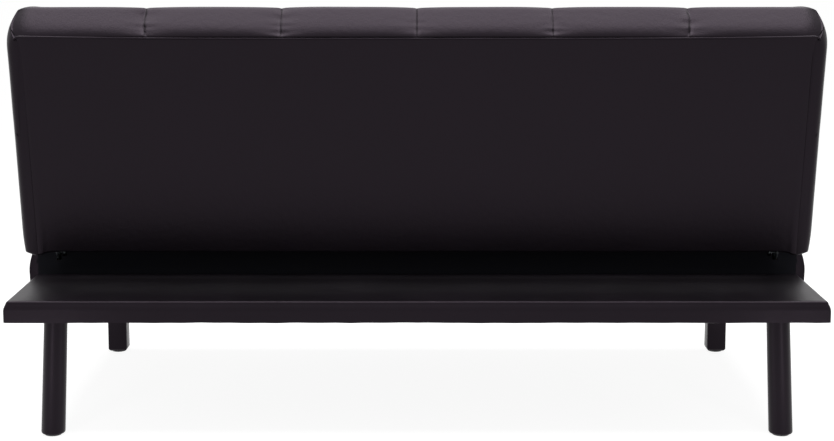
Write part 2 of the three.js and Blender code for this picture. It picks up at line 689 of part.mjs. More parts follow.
// The click clack hinges: a seat arm with a sprung pawl, and a back arm whose ratchet turns on the pivot
const bolt_head_height = 3.5;
const bolt_head_radius = 9;
const bolt_head_sides = 6;
const bolt_facets = 12;
const pad_radius = 11;
const spring_coil_wire = 0.7;
const spring_coil_turns = 3;
const spring_coil_room = 0.5;
const spring_steps_per_turn = 10;
function hinge({ side, word }) {
  const seat_span = onSide(side, ...seat_arm_span);
  const back_span = onSide(side, ...back_arm_span);
  const seat_arm = cut(
    plateBetween(seat_span, outlineRound(seat_arm_circles)),
    barAlongX(seat_span[0] - overrun, seat_span[1] + overrun, pivot_place, pivot_radius + seating_gap),
    ...seat_arm_bolts.map((place) =>
      barAlongX(seat_span[0] - overrun, seat_span[1] + overrun, place, arm_bolt_radius + seating_gap),
    ),
  );
  piece("hinge_seat_arm_" + word, atHinge(seat_arm), steel);

  const head_out = onSide(side, seat_arm_span[1], seat_arm_span[1] + rivet_head_height);
  const head_in_face = back_arm_span[0] - running_gap;
  const head_in = onSide(side, head_in_face - rivet_head_height, head_in_face);
  const shank = onSide(side, head_in_face - rivet_head_height, seat_arm_span[1] + rivet_head_height);
  const pivot = join(
    barAlongX(...shank, pivot_place, pivot_radius),
    barAlongX(...head_out, pivot_place, rivet_head_radius),
    barAlongX(...head_in, pivot_place, rivet_head_radius),
  );
  piece("hinge_pivot_" + word, atHinge(pivot), steel);

  const arm_plate = join(
    plateBetween(back_span, outlineRound(back_arm_circles)),
    barAlongX(...back_span, pivot_place, ratchet_radius, ratchet_facets),
  );
  const pad_span = onSide(side, back_arm_span[0], rail_inner_face - seating_gap);
  const bolt_places = back_arm_bolt_rises.map((rise) => [back_rail_middle, rise]);
  const pads = bolt_places.map((place) => barAlongX(...pad_span, place, pad_radius));
  const bolt_holes = bolt_places.map((place) =>
    barAlongX(pad_span[0] - overrun, pad_span[1] + overrun, place, arm_bolt_radius + seating_gap),
  );
  const pivot_hole = barAlongX(
    back_span[0] - overrun,
    back_span[1] + overrun,
    pivot_place,
    pivot_radius + seating_gap,
  );
  const notch_span = [back_span[0] - overrun, back_span[1] + overrun];
  const upright_notches = notchTools(notch_span).map((tool) => turnedAbout(tool, pivot_place, back_lean));
  const back_arm = cut(join(arm_plate, ...pads), pivot_hole, ...bolt_holes, ...upright_notches);
  piece("hinge_back_arm_" + word, back_arm, steel, back);

  const pawl = cut(
    join(
      plateBetween(back_span, outlineRound([pawl_eye, pawl_head])),
      plateBetween(back_span, outlineRound([pawl_head, pawl_tip])),
    ),
    barAlongX(back_span[0] - overrun, back_span[1] + overrun, pawl_place, pawl_pin_radius + seating_gap),
  );
  piece("pawl_" + word, atHinge(pawl), steel);

  const pin_end = back_arm_span[0] - pawl_pin_reach;
  const pin = join(
    barAlongX(...onSide(side, pin_end, seat_arm_span[0]), pawl_place, pawl_pin_radius),
    barAlongX(...onSide(side, pin_end - pawl_pin_head_height, pin_end), pawl_place, pawl_pin_head_radius),
  );
  piece("pawl_pin_" + word, atHinge(pin), steel);

  const coil_radius = pawl_pin_radius + spring_coil_room + spring_coil_wire;
  const coil_low = pin_end + spring_coil_wire + seating_gap;
  const coil_high = back_arm_span[0] - spring_coil_wire - running_gap;
  const coil_count = spring_coil_turns * spring_steps_per_turn;
  const coil_points = Array.from({ length: coil_count + 1 }, (_, i) => {
    const turn = (i / spring_steps_per_turn) * 2 * Math.PI;
    return new THREE.Vector3(
      side * (coil_low + ((coil_high - coil_low) * i) / coil_count),
      pawl_place[0] + coil_radius * Math.cos(turn),
      pawl_place[1] + coil_radius * Math.sin(turn),
    );
  });
  piece("pawl_spring_" + word, atHinge(wireAlong(coil_points, spring_coil_wire, coil_count)), spring_steel);

  const bolt = (face, place) => {
    const head_span = onSide(side, face - bolt_head_height, face);
    const shank_span = onSide(side, face - bolt_head_height, frame_width / 2);
    return join(
      barAlongX(...head_span, place, bolt_head_radius, bolt_head_sides),
      barAlongX(...shank_span, place, arm_bolt_radius, bolt_facets),
    );
  };
  seat_arm_bolts.forEach((place, i) =>
    piece("seat_arm_bolt_" + (i + 1) + "_" + word, atHinge(bolt(seat_arm_span[0], place)), steel),
  );
  bolt_places.forEach((place, i) =>
    piece(
      "back_arm_bolt_" + (i + 1) + "_" + word,
      bolt(back_arm_span[0] - seating_gap, place),
      steel,
      back,
    ),
  );
}

// The back's frame, built upright round the hinge: Z is the way up the back and Y its depth to the rear
const back_foot = -back_foot_drop;
const back_frame_low = back_foot + back_foot_padding;
const back_frame_high = back_foot + back_to_seam - back_top_lip;
const back_frame_rear = back_rear_offset - back_rail_inset;
const back_frame_fore = back_frame_rear - back_rail_depth;
function backFrame() {
  const low = back_frame_low + seating_gap;
  const high = back_frame_high - seating_gap;
  const rail_end = rail_inner_face - seating_gap;
  const bottom_rail = block(
    [-rail_end, back_frame_fore, low],
    [rail_end, back_frame_rear, low + back_rail_thickness],
  );
  const pockets = sides.map(({ side }) => backPocket(side));
  piece("back_rail_bottom", cut(bottom_rail, ...pockets), timber, back);
  const top_rail = block(
    [-rail_end, back_frame_fore, high - back_rail_thickness],
    [rail_end, back_frame_rear, high],
  );
  piece("back_rail_top", top_rail, timber, back);
  for (const { side, word } of sides) {
    const [inner, outer] = onSide(side, rail_inner_face, frame_width / 2);
    const rail = block([inner, back_frame_fore, low], [outer, back_frame_rear, high]);
    const holes = back_arm_bolt_rises.map((rise) =>
      barAlongX(inner - overrun, outer + overrun, [back_rail_middle, rise], arm_bolt_radius + seating_gap),
    );
    piece("back_rail_" + word, cut(rail, ...holes), timber, back);
  }
  const stile = block(
    [-rail_thickness / 2, back_frame_fore, low + back_rail_thickness + seating_gap],
    [rail_thickness / 2, back_frame_rear, high - back_rail_thickness - seating_gap],
  );
  piece("back_stile", stile, timber, back);
}

function backSprings() {
  const arm_room = rail_inner_face - pocket_span[0] + spring_wire;
  const bays = {
    left: [-rail_inner_face + arm_room, -rail_thickness / 2],
    right: [rail_thickness / 2, rail_inner_face - arm_room],
  };
  const depth = back_frame_fore + spring_wire + seating_gap;
  const span = [
    back_frame_low + seating_gap + back_rail_thickness,
    back_frame_high - seating_gap - back_rail_thickness,
  ];
  for (const [word, bay] of Object.entries(bays)) {
    const upright = springBay(bay, span, -depth).rotate([90, 0, 0]);
    piece("back_springs_" + word, upright, spring_steel, back);
  }
}

// The back's cushion: a tufted cap over the frame that domes over the top to the seam behind
const back_groove = 16;
const back_crown = 6;
const back_belly = 6;
const top_seam_groove = 7;
const dome_power = 2.4;
const rear_rounding = 8;
const rear_turn_shares = [1, 0.29, 0];
function backCushion() {
  const rounding_share = rear_rounding / (cushion_thickness - cushion_edge);
  const dome = (share) => (1 - (1 - share) ** dome_power) ** (1 / dome_power) - 1;
  const turnIn = (share) => 1 - Math.sqrt(1 - Math.max(0, 1 - share / rounding_share) ** 2);
  const shell = upholsteredBlock({
    width: sofa_width,
    length: back_to_seam + back_crest_rise,
    height: cushion_thickness,
    edge: cushion_edge,
    columns: tuft_columns,
    rows: tuft_rows,
    steps_per_column: 6,
    steps_per_row: 4,
    groove: back_groove,
    crown: back_crown,
    walls: {
      levels_share: [0.75, 0.5, 0.25, ...rear_turn_shares.map((turn) => turn * rounding_share)],
      high_groove: top_seam_groove,
      low_groove: 0,
      side: (share) => back_belly * Math.sin(Math.PI * share) - rear_rounding * turnIn(share),
      low: (share) => (-rear_rounding / 2) * turnIn(share),
      high: (share) => back_crest_rise * dome(share),
    },
  });
  shell.rotateX(Math.PI / 2);
  shell.translate(0, back_rear_offset, back_foot);
  const half = frame_width / 2 + seating_gap;
  const frame_room = block(
    [-half, back_frame_fore - seating_gap, back_frame_low],
    [half, back_rear_offset + overrun, back_frame_high],
  );
  const pockets = sides.map(({ side }) => backPocket(side));
  piece("back_cushion", cut(solidOf(shell), frame_room, ...pockets), leather, back);
}

const panel_thickness = 4.4;
const piping_radius = panel_thickness / 2;
const piping_shares = [-1, -0.34, 0.34, 1];
function backPanel() {
  const half = frame_width / 2 - seating_gap;
  const rear = back_rear_offset - seating_gap;
  const panel = block(
    [-half, rear - panel_thickness, back_frame_low + seating_gap],
    [half, rear, back_frame_high - 2 * piping_radius - 2 * seating_gap],
  );
  const pockets = sides.map(({ side }) => backPocket(side));
  piece("back_panel", cut(panel, ...pockets), leather, back);
  const place = back_frame_high - seating_gap - piping_radius;
  const points = piping_shares.map((share) => new THREE.Vector3(share * half, rear - piping_radius, place));
  piece("back_piping", wireAlong(points, piping_radius, 6, 8), leather, back);
}

seatFrame();
seatSprings();
seatCushion();
seatDustCloth();
shelf();
rearLegs();
frontLegs();
sides.forEach(hinge);
backFrame();
backSprings();
backCushion();
backPanel();

export default sofa;
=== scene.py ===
import math

import bpy
import numpy as np
from mathutils import Matrix, Vector, geometry, noise


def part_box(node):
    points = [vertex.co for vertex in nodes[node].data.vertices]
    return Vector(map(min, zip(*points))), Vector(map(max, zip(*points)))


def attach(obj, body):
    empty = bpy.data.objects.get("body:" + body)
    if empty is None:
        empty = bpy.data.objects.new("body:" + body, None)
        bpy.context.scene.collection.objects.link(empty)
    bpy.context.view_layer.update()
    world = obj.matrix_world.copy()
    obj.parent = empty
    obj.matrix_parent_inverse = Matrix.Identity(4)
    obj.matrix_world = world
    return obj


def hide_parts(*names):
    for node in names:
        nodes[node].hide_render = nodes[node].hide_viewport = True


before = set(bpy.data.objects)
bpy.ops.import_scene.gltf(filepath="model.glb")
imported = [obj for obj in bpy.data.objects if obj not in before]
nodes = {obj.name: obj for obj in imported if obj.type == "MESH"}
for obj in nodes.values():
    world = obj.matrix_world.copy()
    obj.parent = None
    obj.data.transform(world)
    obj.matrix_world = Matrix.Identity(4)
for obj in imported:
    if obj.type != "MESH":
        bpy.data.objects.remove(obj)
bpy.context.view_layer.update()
scene = bpy.context.scene
scene.view_settings.view_transform = "Standard"

# ---- The camera
# It stands behind the sofa, 3.35 m from the shelf's rear edge and a little above the back's crest, and looks
# slightly down. The lens is a long one, and its small shift keeps the sofa in the middle of the frame.
image_width_px = 834
focal_px = 1700
shift_px = -40
camera_place = (0, 3.7785, 1.008)
camera_pitch = 8.05

camera_data = bpy.data.cameras.new("camera")
camera_data.sensor_width = 36
camera_data.lens = camera_data.sensor_width * focal_px / image_width_px
camera_data.shift_y = shift_px / image_width_px
camera = bpy.data.objects.new("camera", camera_data)
camera.location = camera_place
camera.rotation_euler = (math.radians(90 - camera_pitch), 0, math.pi)
scene.collection.objects.link(camera)
scene.camera = camera

# ---- The studio
# A white floor that runs to the horizon in white surroundings, with one wide softbox overhead and two small
# ones with honeycombs low behind each rear corner, which draw the long streaks on the round legs.
floor_size = 60
floor_glow = 0.92
surround_light = 0.3
# Name, place, target, width and height, power in watts, and spread in degrees
softboxes = [
    ("overhead_softbox", (0, 0, 2.6), (0, 0.2, 0.4), (3.6, 2.5), 158, 180),
    ("left_softbox", (1.0, 1.19, 0.12), (0.74, 0.38, 0.06), (0.2, 0.2), 0.1, 26),
    ("right_softbox", (-1.0, 1.19, 0.12), (-0.74, 0.38, 0.06), (0.2, 0.2), 0.1, 26),
    ("far_left_softbox", (1.1, 1.1, 0.12), (-0.74, 0.38, 0.06), (0.4, 0.2), 0.12, 12),
    ("far_right_softbox", (-1.1, 1.1, 0.12), (0.74, 0.38, 0.06), (0.4, 0.2), 0.12, 12),
]


def linear(colour):
    """An sRGB hex colour as linear red, green, blue and alpha."""
    shares = [int(colour[i : i + 2], 16) / 255 for i in (0, 2, 4)]
    return [s / 12.92 if s <= 0.04045 else ((s + 0.055) / 1.055) ** 2.4 for s in shares] + [1]


def add_node(tree, kind, inputs=(), **settings):
    """Adds a node with its settings; each input is a value, or the output that is linked to it."""
    node = tree.nodes.new(kind)
    for name, value in settings.items():
        setattr(node, name, value)
    for socket, value in dict(inputs).items():
        if isinstance(value, bpy.types.NodeSocket):
            tree.links.new(value, node.inputs[socket])
        else:
            node.inputs[socket].default_value = value
    return node


def seen_directly(tree):
    """1 for the rays that show a surface to the camera, straight, mirrored or through glass."""
    path = add_node(tree, "ShaderNodeLightPath").outputs
    unbent = {0: path["Is Camera Ray"], 1: path["Is Glossy Ray"]}
    plain = add_node(tree, "ShaderNodeMath", unbent, operation="MAXIMUM")
    both = {0: plain.outputs[0], 1: path["Is Transmission Ray"]}
    return add_node(tree, "ShaderNodeMath", both, operation="MAXIMUM").outputs[0]


world = bpy.data.worlds.new("surroundings")
world.use_nodes = True
scene.world = world
surround = world.node_tree
surround.nodes.clear()
strength = add_node(
    surround,
    "ShaderNodeMapRange",
    {"Value": seen_directly(surround), "To Min": surround_light, "To Max": 1.0},
)
glow = add_node(surround, "ShaderNodeBackground", {"Color": linear("ffffff"), "Strength": strength.outputs[0]})
add_node(surround, "ShaderNodeOutputWorld", {"Surface": glow.outputs[0]})

bpy.ops.object.select_all(action="DESELECT")
bpy.ops.mesh.primitive_plane_add(size=floor_size)
floor = bpy.context.object
floor.name = "floor"
floor_finish = bpy.data.materials.new("white_floor_paint")
floor_finish.use_nodes = True
paint = floor_finish.node_tree
paint.nodes.clear()
matt = add_node(paint, "ShaderNodeBsdfDiffuse", {"Color": linear("898989")})
lit = add_node(paint, "ShaderNodeMath", {0: seen_directly(paint), 1: floor_glow}, operation="MULTIPLY")
bright = add_node(paint, "ShaderNodeEmission", {"Color": linear("ffffff"), "Strength": lit.outputs[0]})
both = add_node(paint, "ShaderNodeAddShader", {0: matt.outputs[0], 1: bright.outputs[0]})
add_node(paint, "ShaderNodeOutputMaterial", {"Surface": both.outputs[0]})
floor.data.materials.append(floor_finish)

for name, place, target, (wide, high), power, spread in softboxes:
    lamp = bpy.data.lights.new(name, "AREA")
    lamp.spread = math.radians(spread)
    lamp.shape = "RECTANGLE"
    lamp.size, lamp.size_y, lamp.energy = wide, high, power
    box = bpy.data.objects.new(name, lamp)
    box.location = place
    box.rotation_euler = (Vector(target) - Vector(place)).to_track_quat("-Z", "Y").to_euler()
    scene.collection.objects.link(box)

# ---- The seat's frame
# Planed softwood rails, 20 mm thick, glued and screwed into a box, with two cross rails that carry the springs
# and a cleat in each front corner that takes a leg. The dust cloth and the cushion hide it.


def new_finish(name, colour, roughness, specular, metallic=0.0):
    """A material with its shader; the colour, roughness and normal may be linked afterwards."""
    material = bpy.data.materials.new(name)
    material.use_nodes = True
    material.diffuse_color = linear(colour)
    shader = material.node_tree.nodes["Principled BSDF"].inputs
    shader["Base Color"].default_value = linear(colour)
    shader["Roughness"].default_value = roughness
    shader["Specular IOR Level"].default_value = specular
    shader["Metallic"].default_value = metallic
    return material, material.node_tree, shader


def planed_pine(grain_axis):
    """Planed pine: pale yellow wood, whose darker summer rings run as streaks along the grain."""
    ring_pitch, ring_relief = 0.006, 0.0006
    streak_length = 0.25
    material, tree, shader = new_finish("planed_pine_" + grain_axis, "b98f5f", 0.62, 0.35)
    place = add_node(tree, "ShaderNodeTexCoord").outputs["Object"]
    stretch = [1 / streak_length if axis == grain_axis else 1 / ring_pitch for axis in "XYZ"]
    streaks = add_node(tree, "ShaderNodeMapping", {"Vector": place, "Scale": stretch}).outputs[0]
    rings = add_node(
        tree,
        "ShaderNodeTexNoise",
        {"Vector": streaks, "Scale": 1.0, "Detail": 4.0, "Roughness": 0.6},
    )
    tone = add_node(tree, "ShaderNodeValToRGB", {"Fac": rings.outputs[0]})
    tone.color_ramp.elements[0].color = linear("94673b")
    tone.color_ramp.elements[0].position = 0.32
    tone.color_ramp.elements[1].color = linear("cfa878")
    tone.color_ramp.elements[1].position = 0.62
    tree.links.new(tone.outputs[0], shader["Base Color"])
    relief = add_node(
        tree,
        "ShaderNodeBump",
        {"Height": rings.outputs[0], "Strength": 0.25, "Distance": ring_relief},
    )
    tree.links.new(relief.outputs[0], shader["Normal"])
    return material


def dress(names, material):
    """Gives carried-over pieces their finish."""
    for name in names:
        for slot in nodes[name].material_slots:
            slot.material = material


two_sides = ("left", "right")
pine_across, pine_deep, pine_upright = (planed_pine(axis) for axis in "XYZ")
dress(["seat_rail_rear", "seat_rail_front"], pine_across)
deep_kinds = ("seat_rail_", "seat_cross_rail_", "front_leg_cleat_")
dress([kind + side for kind in deep_kinds for side in two_sides], pine_deep)

# ---- The springs of the seat and the back
# Sinuous springs bent from hard-drawn 4 mm wire, left as drawn: bright grey, with fine lines along the wire
# and a thin film of oil that dulls it in patches.
draw_line_pitch, draw_line_relief = 0.0012, 0.0002
oil_patch = 0.02
spring_wire, tree, shader = new_finish("drawn_spring_wire", "8b8f93", 0.36, 0.5, 1.0)
place = add_node(tree, "ShaderNodeTexCoord").outputs["Object"]
lines = add_node(tree, "ShaderNodeTexNoise", {"Vector": place, "Scale": 1 / draw_line_pitch, "Detail": 2.0})
patches = add_node(tree, "ShaderNodeTexNoise", {"Vector": place, "Scale": 1 / oil_patch, "Detail": 3.0})
dulled = add_node(tree, "ShaderNodeMapRange", {"Value": patches.outputs[0], "To Min": 0.26, "To Max": 0.5})
tree.links.new(dulled.outputs[0], shader["Roughness"])
relief = add_node(
    tree,
    "ShaderNodeBump",
    {"Height": lines.outputs[0], "Strength": 0.2, "Distance": draw_line_relief},
)
tree.links.new(relief.outputs[0], shader["Normal"])
dress(["seat_springs_" + bay for bay in ("left", "middle", "right")], spring_wire)
dress([kind + side for kind in ("back_springs_", "pawl_spring_") for side in two_sides], spring_wire)

# ---- The click clack hinges
# On each side a seat arm and a back arm of 4 mm pressed steel turn on a riveted pivot. A sprung pawl drops
# into the notches of the back arm's ratchet. All of it is zinc plated, so bluish grey and softly mottled.
crystal_size = 0.007
handling_mark, mark_relief = 0.03, 0.0003
zinc, tree, shader = new_finish("zinc_plated_steel", "858b8c", 0.38, 0.5, 1.0)
place = add_node(tree, "ShaderNodeTexCoord").outputs["Object"]
crystals = add_node(tree, "ShaderNodeTexVoronoi", {"Vector": place, "Scale": 1 / crystal_size})
marks = add_node(tree, "ShaderNodeTexNoise", {"Vector": place, "Scale": 1 / handling_mark, "Detail": 5.0})
tone = add_node(tree, "ShaderNodeValToRGB", {"Fac": crystals.outputs["Color"]})
tone.color_ramp.elements[0].color = linear("767d80")
tone.color_ramp.elements[1].color = linear("98a0a2")
tree.links.new(tone.outputs[0], shader["Base Color"])
worn = add_node(tree, "ShaderNodeMapRange", {"Value": marks.outputs[0], "To Min": 0.28, "To Max": 0.52})
tree.links.new(worn.outputs[0], shader["Roughness"])
relief = add_node(
    tree,
    "ShaderNodeBump",
    {"Height": marks.outputs[0], "Strength": 0.15, "Distance": mark_relief},
)
tree.links.new(relief.outputs[0], shader["Normal"])

hinge_axis = (0.1433, 0.3768)
back_lean = math.radians(12.08)
pressed_edge, rivet_edge, bolt_edge = 0.0006, 0.0016, 0.0009
same_point, same_plane, sharp_bend = 0.00002, math.radians(1), math.radians(40)


def select_only(piece):
    bpy.ops.object.select_all(action="DESELECT")
    piece.select_set(True)
    bpy.context.view_layer.objects.active = piece


def smooth(piece, angle=35):
    select_only(piece)
    bpy.ops.object.shade_smooth_by_angle(angle=math.radians(angle))


def eased_copy(node, name, edge, body, finish):
    """A copy of a pressed, turned or sawn piece whose sharp edges are rounded as the real one's are."""
    piece = bpy.data.objects.new(name, nodes[node].data.copy())
    scene.collection.objects.link(piece)
    select_only(piece)
    bpy.ops.object.mode_set(mode="EDIT")
    bpy.ops.mesh.select_all(action="SELECT")
    bpy.ops.mesh.remove_doubles(threshold=same_point)
    bpy.ops.mesh.dissolve_limited(angle_limit=same_plane)
    bpy.ops.object.mode_set(mode="OBJECT")
    bevel = piece.modifiers.new("eased_edges", "BEVEL")
    bevel.width, bevel.segments, bevel.limit_method = edge, 2, "ANGLE"
    bevel.angle_limit = sharp_bend
    bpy.ops.object.modifier_apply(modifier=bevel.name)
    smooth(piece)
    piece.data.materials.clear()
    piece.data.materials.append(finish)
    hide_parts(node)
    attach(piece, body)
    return piece


for side in two_sides:
    eased_copy("hinge_seat_arm_" + side, "pressed_seat_arm_" + side, pressed_edge, "base", zinc)
    eased_copy("hinge_back_arm_" + side, "pressed_back_arm_" + side, pressed_edge, "back", zinc)
    eased_copy("pawl_" + side, "pressed_pawl_" + side, pressed_edge, "pawl_" + side, zinc)
    eased_copy("hinge_pivot_" + side, "hinge_rivet_" + side, rivet_edge, "base", zinc)
    eased_copy("pawl_pin_" + side, "pawl_rivet_" + side, bolt_edge, "base", zinc)
    for count in "12":
        for kind, body in (("seat_arm_bolt_", "base"), ("back_arm_bolt_", "back")):
            node = kind + count + "_" + side
            eased_copy(node, "hexagon_" + node, bolt_edge, body, zinc)
dress([kind + side for kind in ("tie_rail_", "rear_leg_plate_") for side in two_sides], zinc)

# ---- The seat cushion
# A cap of foam over the frame in black artificial leather: a tufted top of six by two squares, whose lengthways
# seams run on down the front, rounded edges, and a border drawn in and stapled under the frame.
grain_pitch, grain_relief = 0.0024, 0.0004
fold_size, fold_relief, fold_warp = 0.012, 0.0012, 0.0008
tone_patch = 0.22
leather, tree, shader = new_finish("black_artificial_leather", "100e11", 0.42, 0.17)
# The coated cloth has a leather grain of 1 mm, drawn at 2.4 mm so that it shows from a step away. The coating
# gives a soft, slightly purple sheen.
shader["Specular Tint"].default_value = linear("ffe6ff")
place = add_node(tree, "ShaderNodeTexCoord").outputs["Object"]
warp = add_node(tree, "ShaderNodeTexNoise", {"Vector": place, "Scale": 1 / fold_size, "Detail": 3.0})
bent = add_node(
    tree,
    "ShaderNodeMix",
    {"Factor": fold_warp, "A": place, "B": warp.outputs["Color"]},
    data_type="VECTOR",
)
bent = bent.outputs["Result"]
grain = add_node(
    tree,
    "ShaderNodeTexVoronoi",
    {"Vector": bent, "Scale": 1 / grain_pitch, "Randomness": 0.9},
    feature="SMOOTH_F1",
)
patches = add_node(tree, "ShaderNodeTexNoise", {"Vector": place, "Scale": 1 / tone_patch, "Detail": 4.0})
tone = add_node(tree, "ShaderNodeValToRGB", {"Fac": patches.outputs[0]})
tone.color_ramp.elements[0].color = linear("0a080b")
tone.color_ramp.elements[0].position = 0.35
tone.color_ramp.elements[1].color = linear("0f0c10")
tone.color_ramp.elements[1].position = 0.65
sheen = add_node(tree, "ShaderNodeMapRange", {"Value": patches.outputs[0], "To Min": 0.33, "To Max": 0.42})
tree.links.new(sheen.outputs[0], shader["Roughness"])
fine = add_node(
    tree,
    "ShaderNodeBump",
    {"Height": grain.outputs["Distance"], "Strength": 0.3, "Distance": grain_relief},
)
broad = add_node(
    tree,
    "ShaderNodeBump",
    {"Height": warp.outputs[0], "Strength": 0.25, "Distance": fold_relief, "Normal": fine.outputs[0]},
)
tree.links.new(broad.outputs[0], shader["Normal"])
# Painted shade along the seams: near a seam the colour is mixed towards black and the specular is taken away,
# standing in for the shade in the seam's crease
painted_seam_shade = add_node(tree, "ShaderNodeAttribute", attribute_name="painted_seam_shade").outputs["Fac"]
shaded = add_node(
    tree,
    "ShaderNodeMix",
    {"Factor": painted_seam_shade, "A": tone.outputs[0], "B": linear("020202")},
    data_type="RGBA",
)
tree.links.new(shaded.outputs["Result"], shader["Base Color"])
# The painted seam shade also turns the specular down to nothing on the seam
dulled = add_node(tree, "ShaderNodeMapRange", {"Value": painted_seam_shade, "To Min": 0.17, "To Max": 0.0})
tree.links.new(dulled.outputs[0], shader["Specular IOR Level"])

tuft_columns, tuft_rows = 6, 2
mesh_pitch = 0.012
seam_side, stitch_depth = 0.0035, 0.0025
edge_radius = 0.05


def mesh_lines(span, count, edge):
    """Mesh lines across a cushion: round both edges, on and beside each seam, and evenly between."""
    steps_round = 6
    lines = {}
    for k in range(steps_round + 1):
        inset = edge * (1 - math.cos(math.radians(90 * k / steps_round)))
        lines[round(inset, 6)] = lines[round(span - inset, 6)] = False
    stops = [edge] + [span * i / count for i in range(1, count)] + [span - edge]
    for i, (start, end) in enumerate(zip(stops, stops[1:])):
        first = start + seam_side if i else start
        last = end - seam_side if i < len(stops) - 2 else end
        steps = max(1, round((last - first) / mesh_pitch))
        for k in range(steps + 1):
            lines.setdefault(round(first + (last - first) * k / steps, 6), False)
        if i:
            lines[round(start, 6)] = True
    return sorted(lines.items())


def seam_depth(place, span, count):
    """From 1 on a seam to 0 in the middle of a square."""
    return (1 - abs(math.sin(math.pi * count * place / span))) ** 2


def end_share(place, span, edge, kept_low, kept_high):
    """A seam's depth along its run: whole on the face, and at each end what is kept where it runs on over the
    edge."""
    fading = 1.6 * edge
    low, high = min(1, place / fading), min(1, (span - place) / fading)
    return (kept_low + (1 - kept_low) * low) * (kept_high + (1 - kept_high) * high)


def tufted_cap(width, length, height, edge, counts, groove, kept, far_square, border):
    """The outer skin of a tufted cushion as points, faces and held points. X and Y run across and along it
    from its middle and its low end, and Z from its frame side to its face. The border carries on from a rim
    point: it takes the point, its place on a square-cornered rim, and the seam's share and stitch there, and
    gives the points from there to the frame side. The corners of the high end are squarer by far_square."""

    def beyond(place, span):
        """How far a place is into the rounded edge, as a share of it, with its side as the sign."""
        away = place - span / 2
        return math.copysign(max(0, abs(away) - (span / 2 - edge)) / edge, away)

    across, along = mesh_lines(width, counts[0], edge), mesh_lines(length, counts[1], edge)
    row = len(across)
    points, held, faces = [], [], []
    for y, y_seam in along:
        for x, x_seam in across:
            dx, dy = beyond(x, width), beyond(y, length)
            ex, ey = dx * math.sqrt(1 - dy * dy / 2), dy * math.sqrt(1 - dx * dx / 2)
            drop = edge * (1 - math.sqrt(max(0, 1 - ex * ex - ey * ey)))
            lengthways, crossways = end_share(y, length, edge, *kept), end_share(x, width, edge, 0, 0)
            seam = max(
                seam_depth(x, width, counts[0]) * lengthways * min(1, crossways * 4),
                seam_depth(y, length, counts[1]) * crossways * min(1, lengthways * 4) * (counts[1] > 1),
            )
            held.append(x_seam or y_seam)
            stitch = stitch_depth * max(x_seam * min(1, lengthways * 3), y_seam * crossways)
            sunk = groove * seam + stitch
            up = math.sqrt(max(0, 1 - ex * ex - ey * ey))
            round_share = edge * (1 - far_square * (ex * ex + ey * ey) * (y > length / 2))
            flat = (x - width / 2 - (dx - ex) * round_share, y - (dy - ey) * round_share)
            points.append((flat[0] - ex * sunk, flat[1] - ey * sunk, height - drop - up * sunk))
    last_row, last_column = len(along) - 1, row - 1
    for j in range(last_row):
        for i in range(last_column):
            a = j * row + i
            faces.append((a, a + 1, a + row + 1, a + row))
    ring = (
        list(range(last_column))
        + [j * row + last_column for j in range(last_row)]
        + [last_row * row + last_column - i for i in range(last_column)]
        + [(last_row - j) * row for j in range(last_row)]
    )
    columns = []
    for a in ring:
        square = (across[a % row][0] - width / 2, along[a // row][0])
        x, y = square
        dx, dy = beyond(x + width / 2, width), beyond(y, length)
        inner = (1 - math.sqrt(1 - dy * dy / 2)) * dx, (1 - math.sqrt(1 - dx * dx / 2)) * dy
        round_share = edge * (1 - far_square * (y > length / 2))
        rim = (x - inner[0] * round_share, y - inner[1] * round_share)
        columns.append(border(rim, square, seam_depth(x + width / 2, width, counts[0]), stitch_depth * held[a]))
    for level in range(len(columns[0])):
        start = len(points)
        points += [column[level] for column in columns]
        held += [True] * len(columns)
        lower = list(range(start, len(points)))
        faces += [(ring[i - 1], lower[i - 1], lower[i], ring[i]) for i in range(len(ring))]
        ring = lower
    return points, faces, [i for i, h in enumerate(held) if h]


def new_piece(name, points, faces, finish):
    """A piece in one finish from its points and faces."""
    mesh = bpy.data.meshes.new(name)
    mesh.from_pydata(points, [], faces)
    mesh.update()
    piece = bpy.data.objects.new(name, mesh)
    scene.collection.objects.link(piece)
    piece.data.materials.append(finish)
    return piece


def apply(piece, kind, **settings):
    """Adds a modifier with its settings and applies it."""
    select_only(piece)
    modifier = piece.modifiers.new(kind.lower(), kind)
    for name, value in settings.items():
        setattr(modifier, name, value)
    bpy.ops.object.modifier_apply(modifier=modifier.name)


def refine(piece):
    """Subdivides the skin once and closes its open side with one face."""
    apply(piece, "SUBSURF", levels=1, render_levels=1)
    bpy.ops.object.mode_set(mode="EDIT")
    bpy.ops.mesh.select_mode(type="EDGE")
    bpy.ops.mesh.select_all(action="DESELECT")
    bpy.ops.mesh.select_non_manifold()
    bpy.ops.mesh.edge_face_add()
    bpy.ops.mesh.select_all(action="SELECT")
    bpy.ops.mesh.normals_make_consistent(inside=False)
    bpy.ops.object.mode_set(mode="OBJECT")


def points_of(piece):
    places = np.empty(len(piece.data.vertices) * 3)
    piece.data.vertices.foreach_get("co", places)
    return places.reshape(-1, 3)


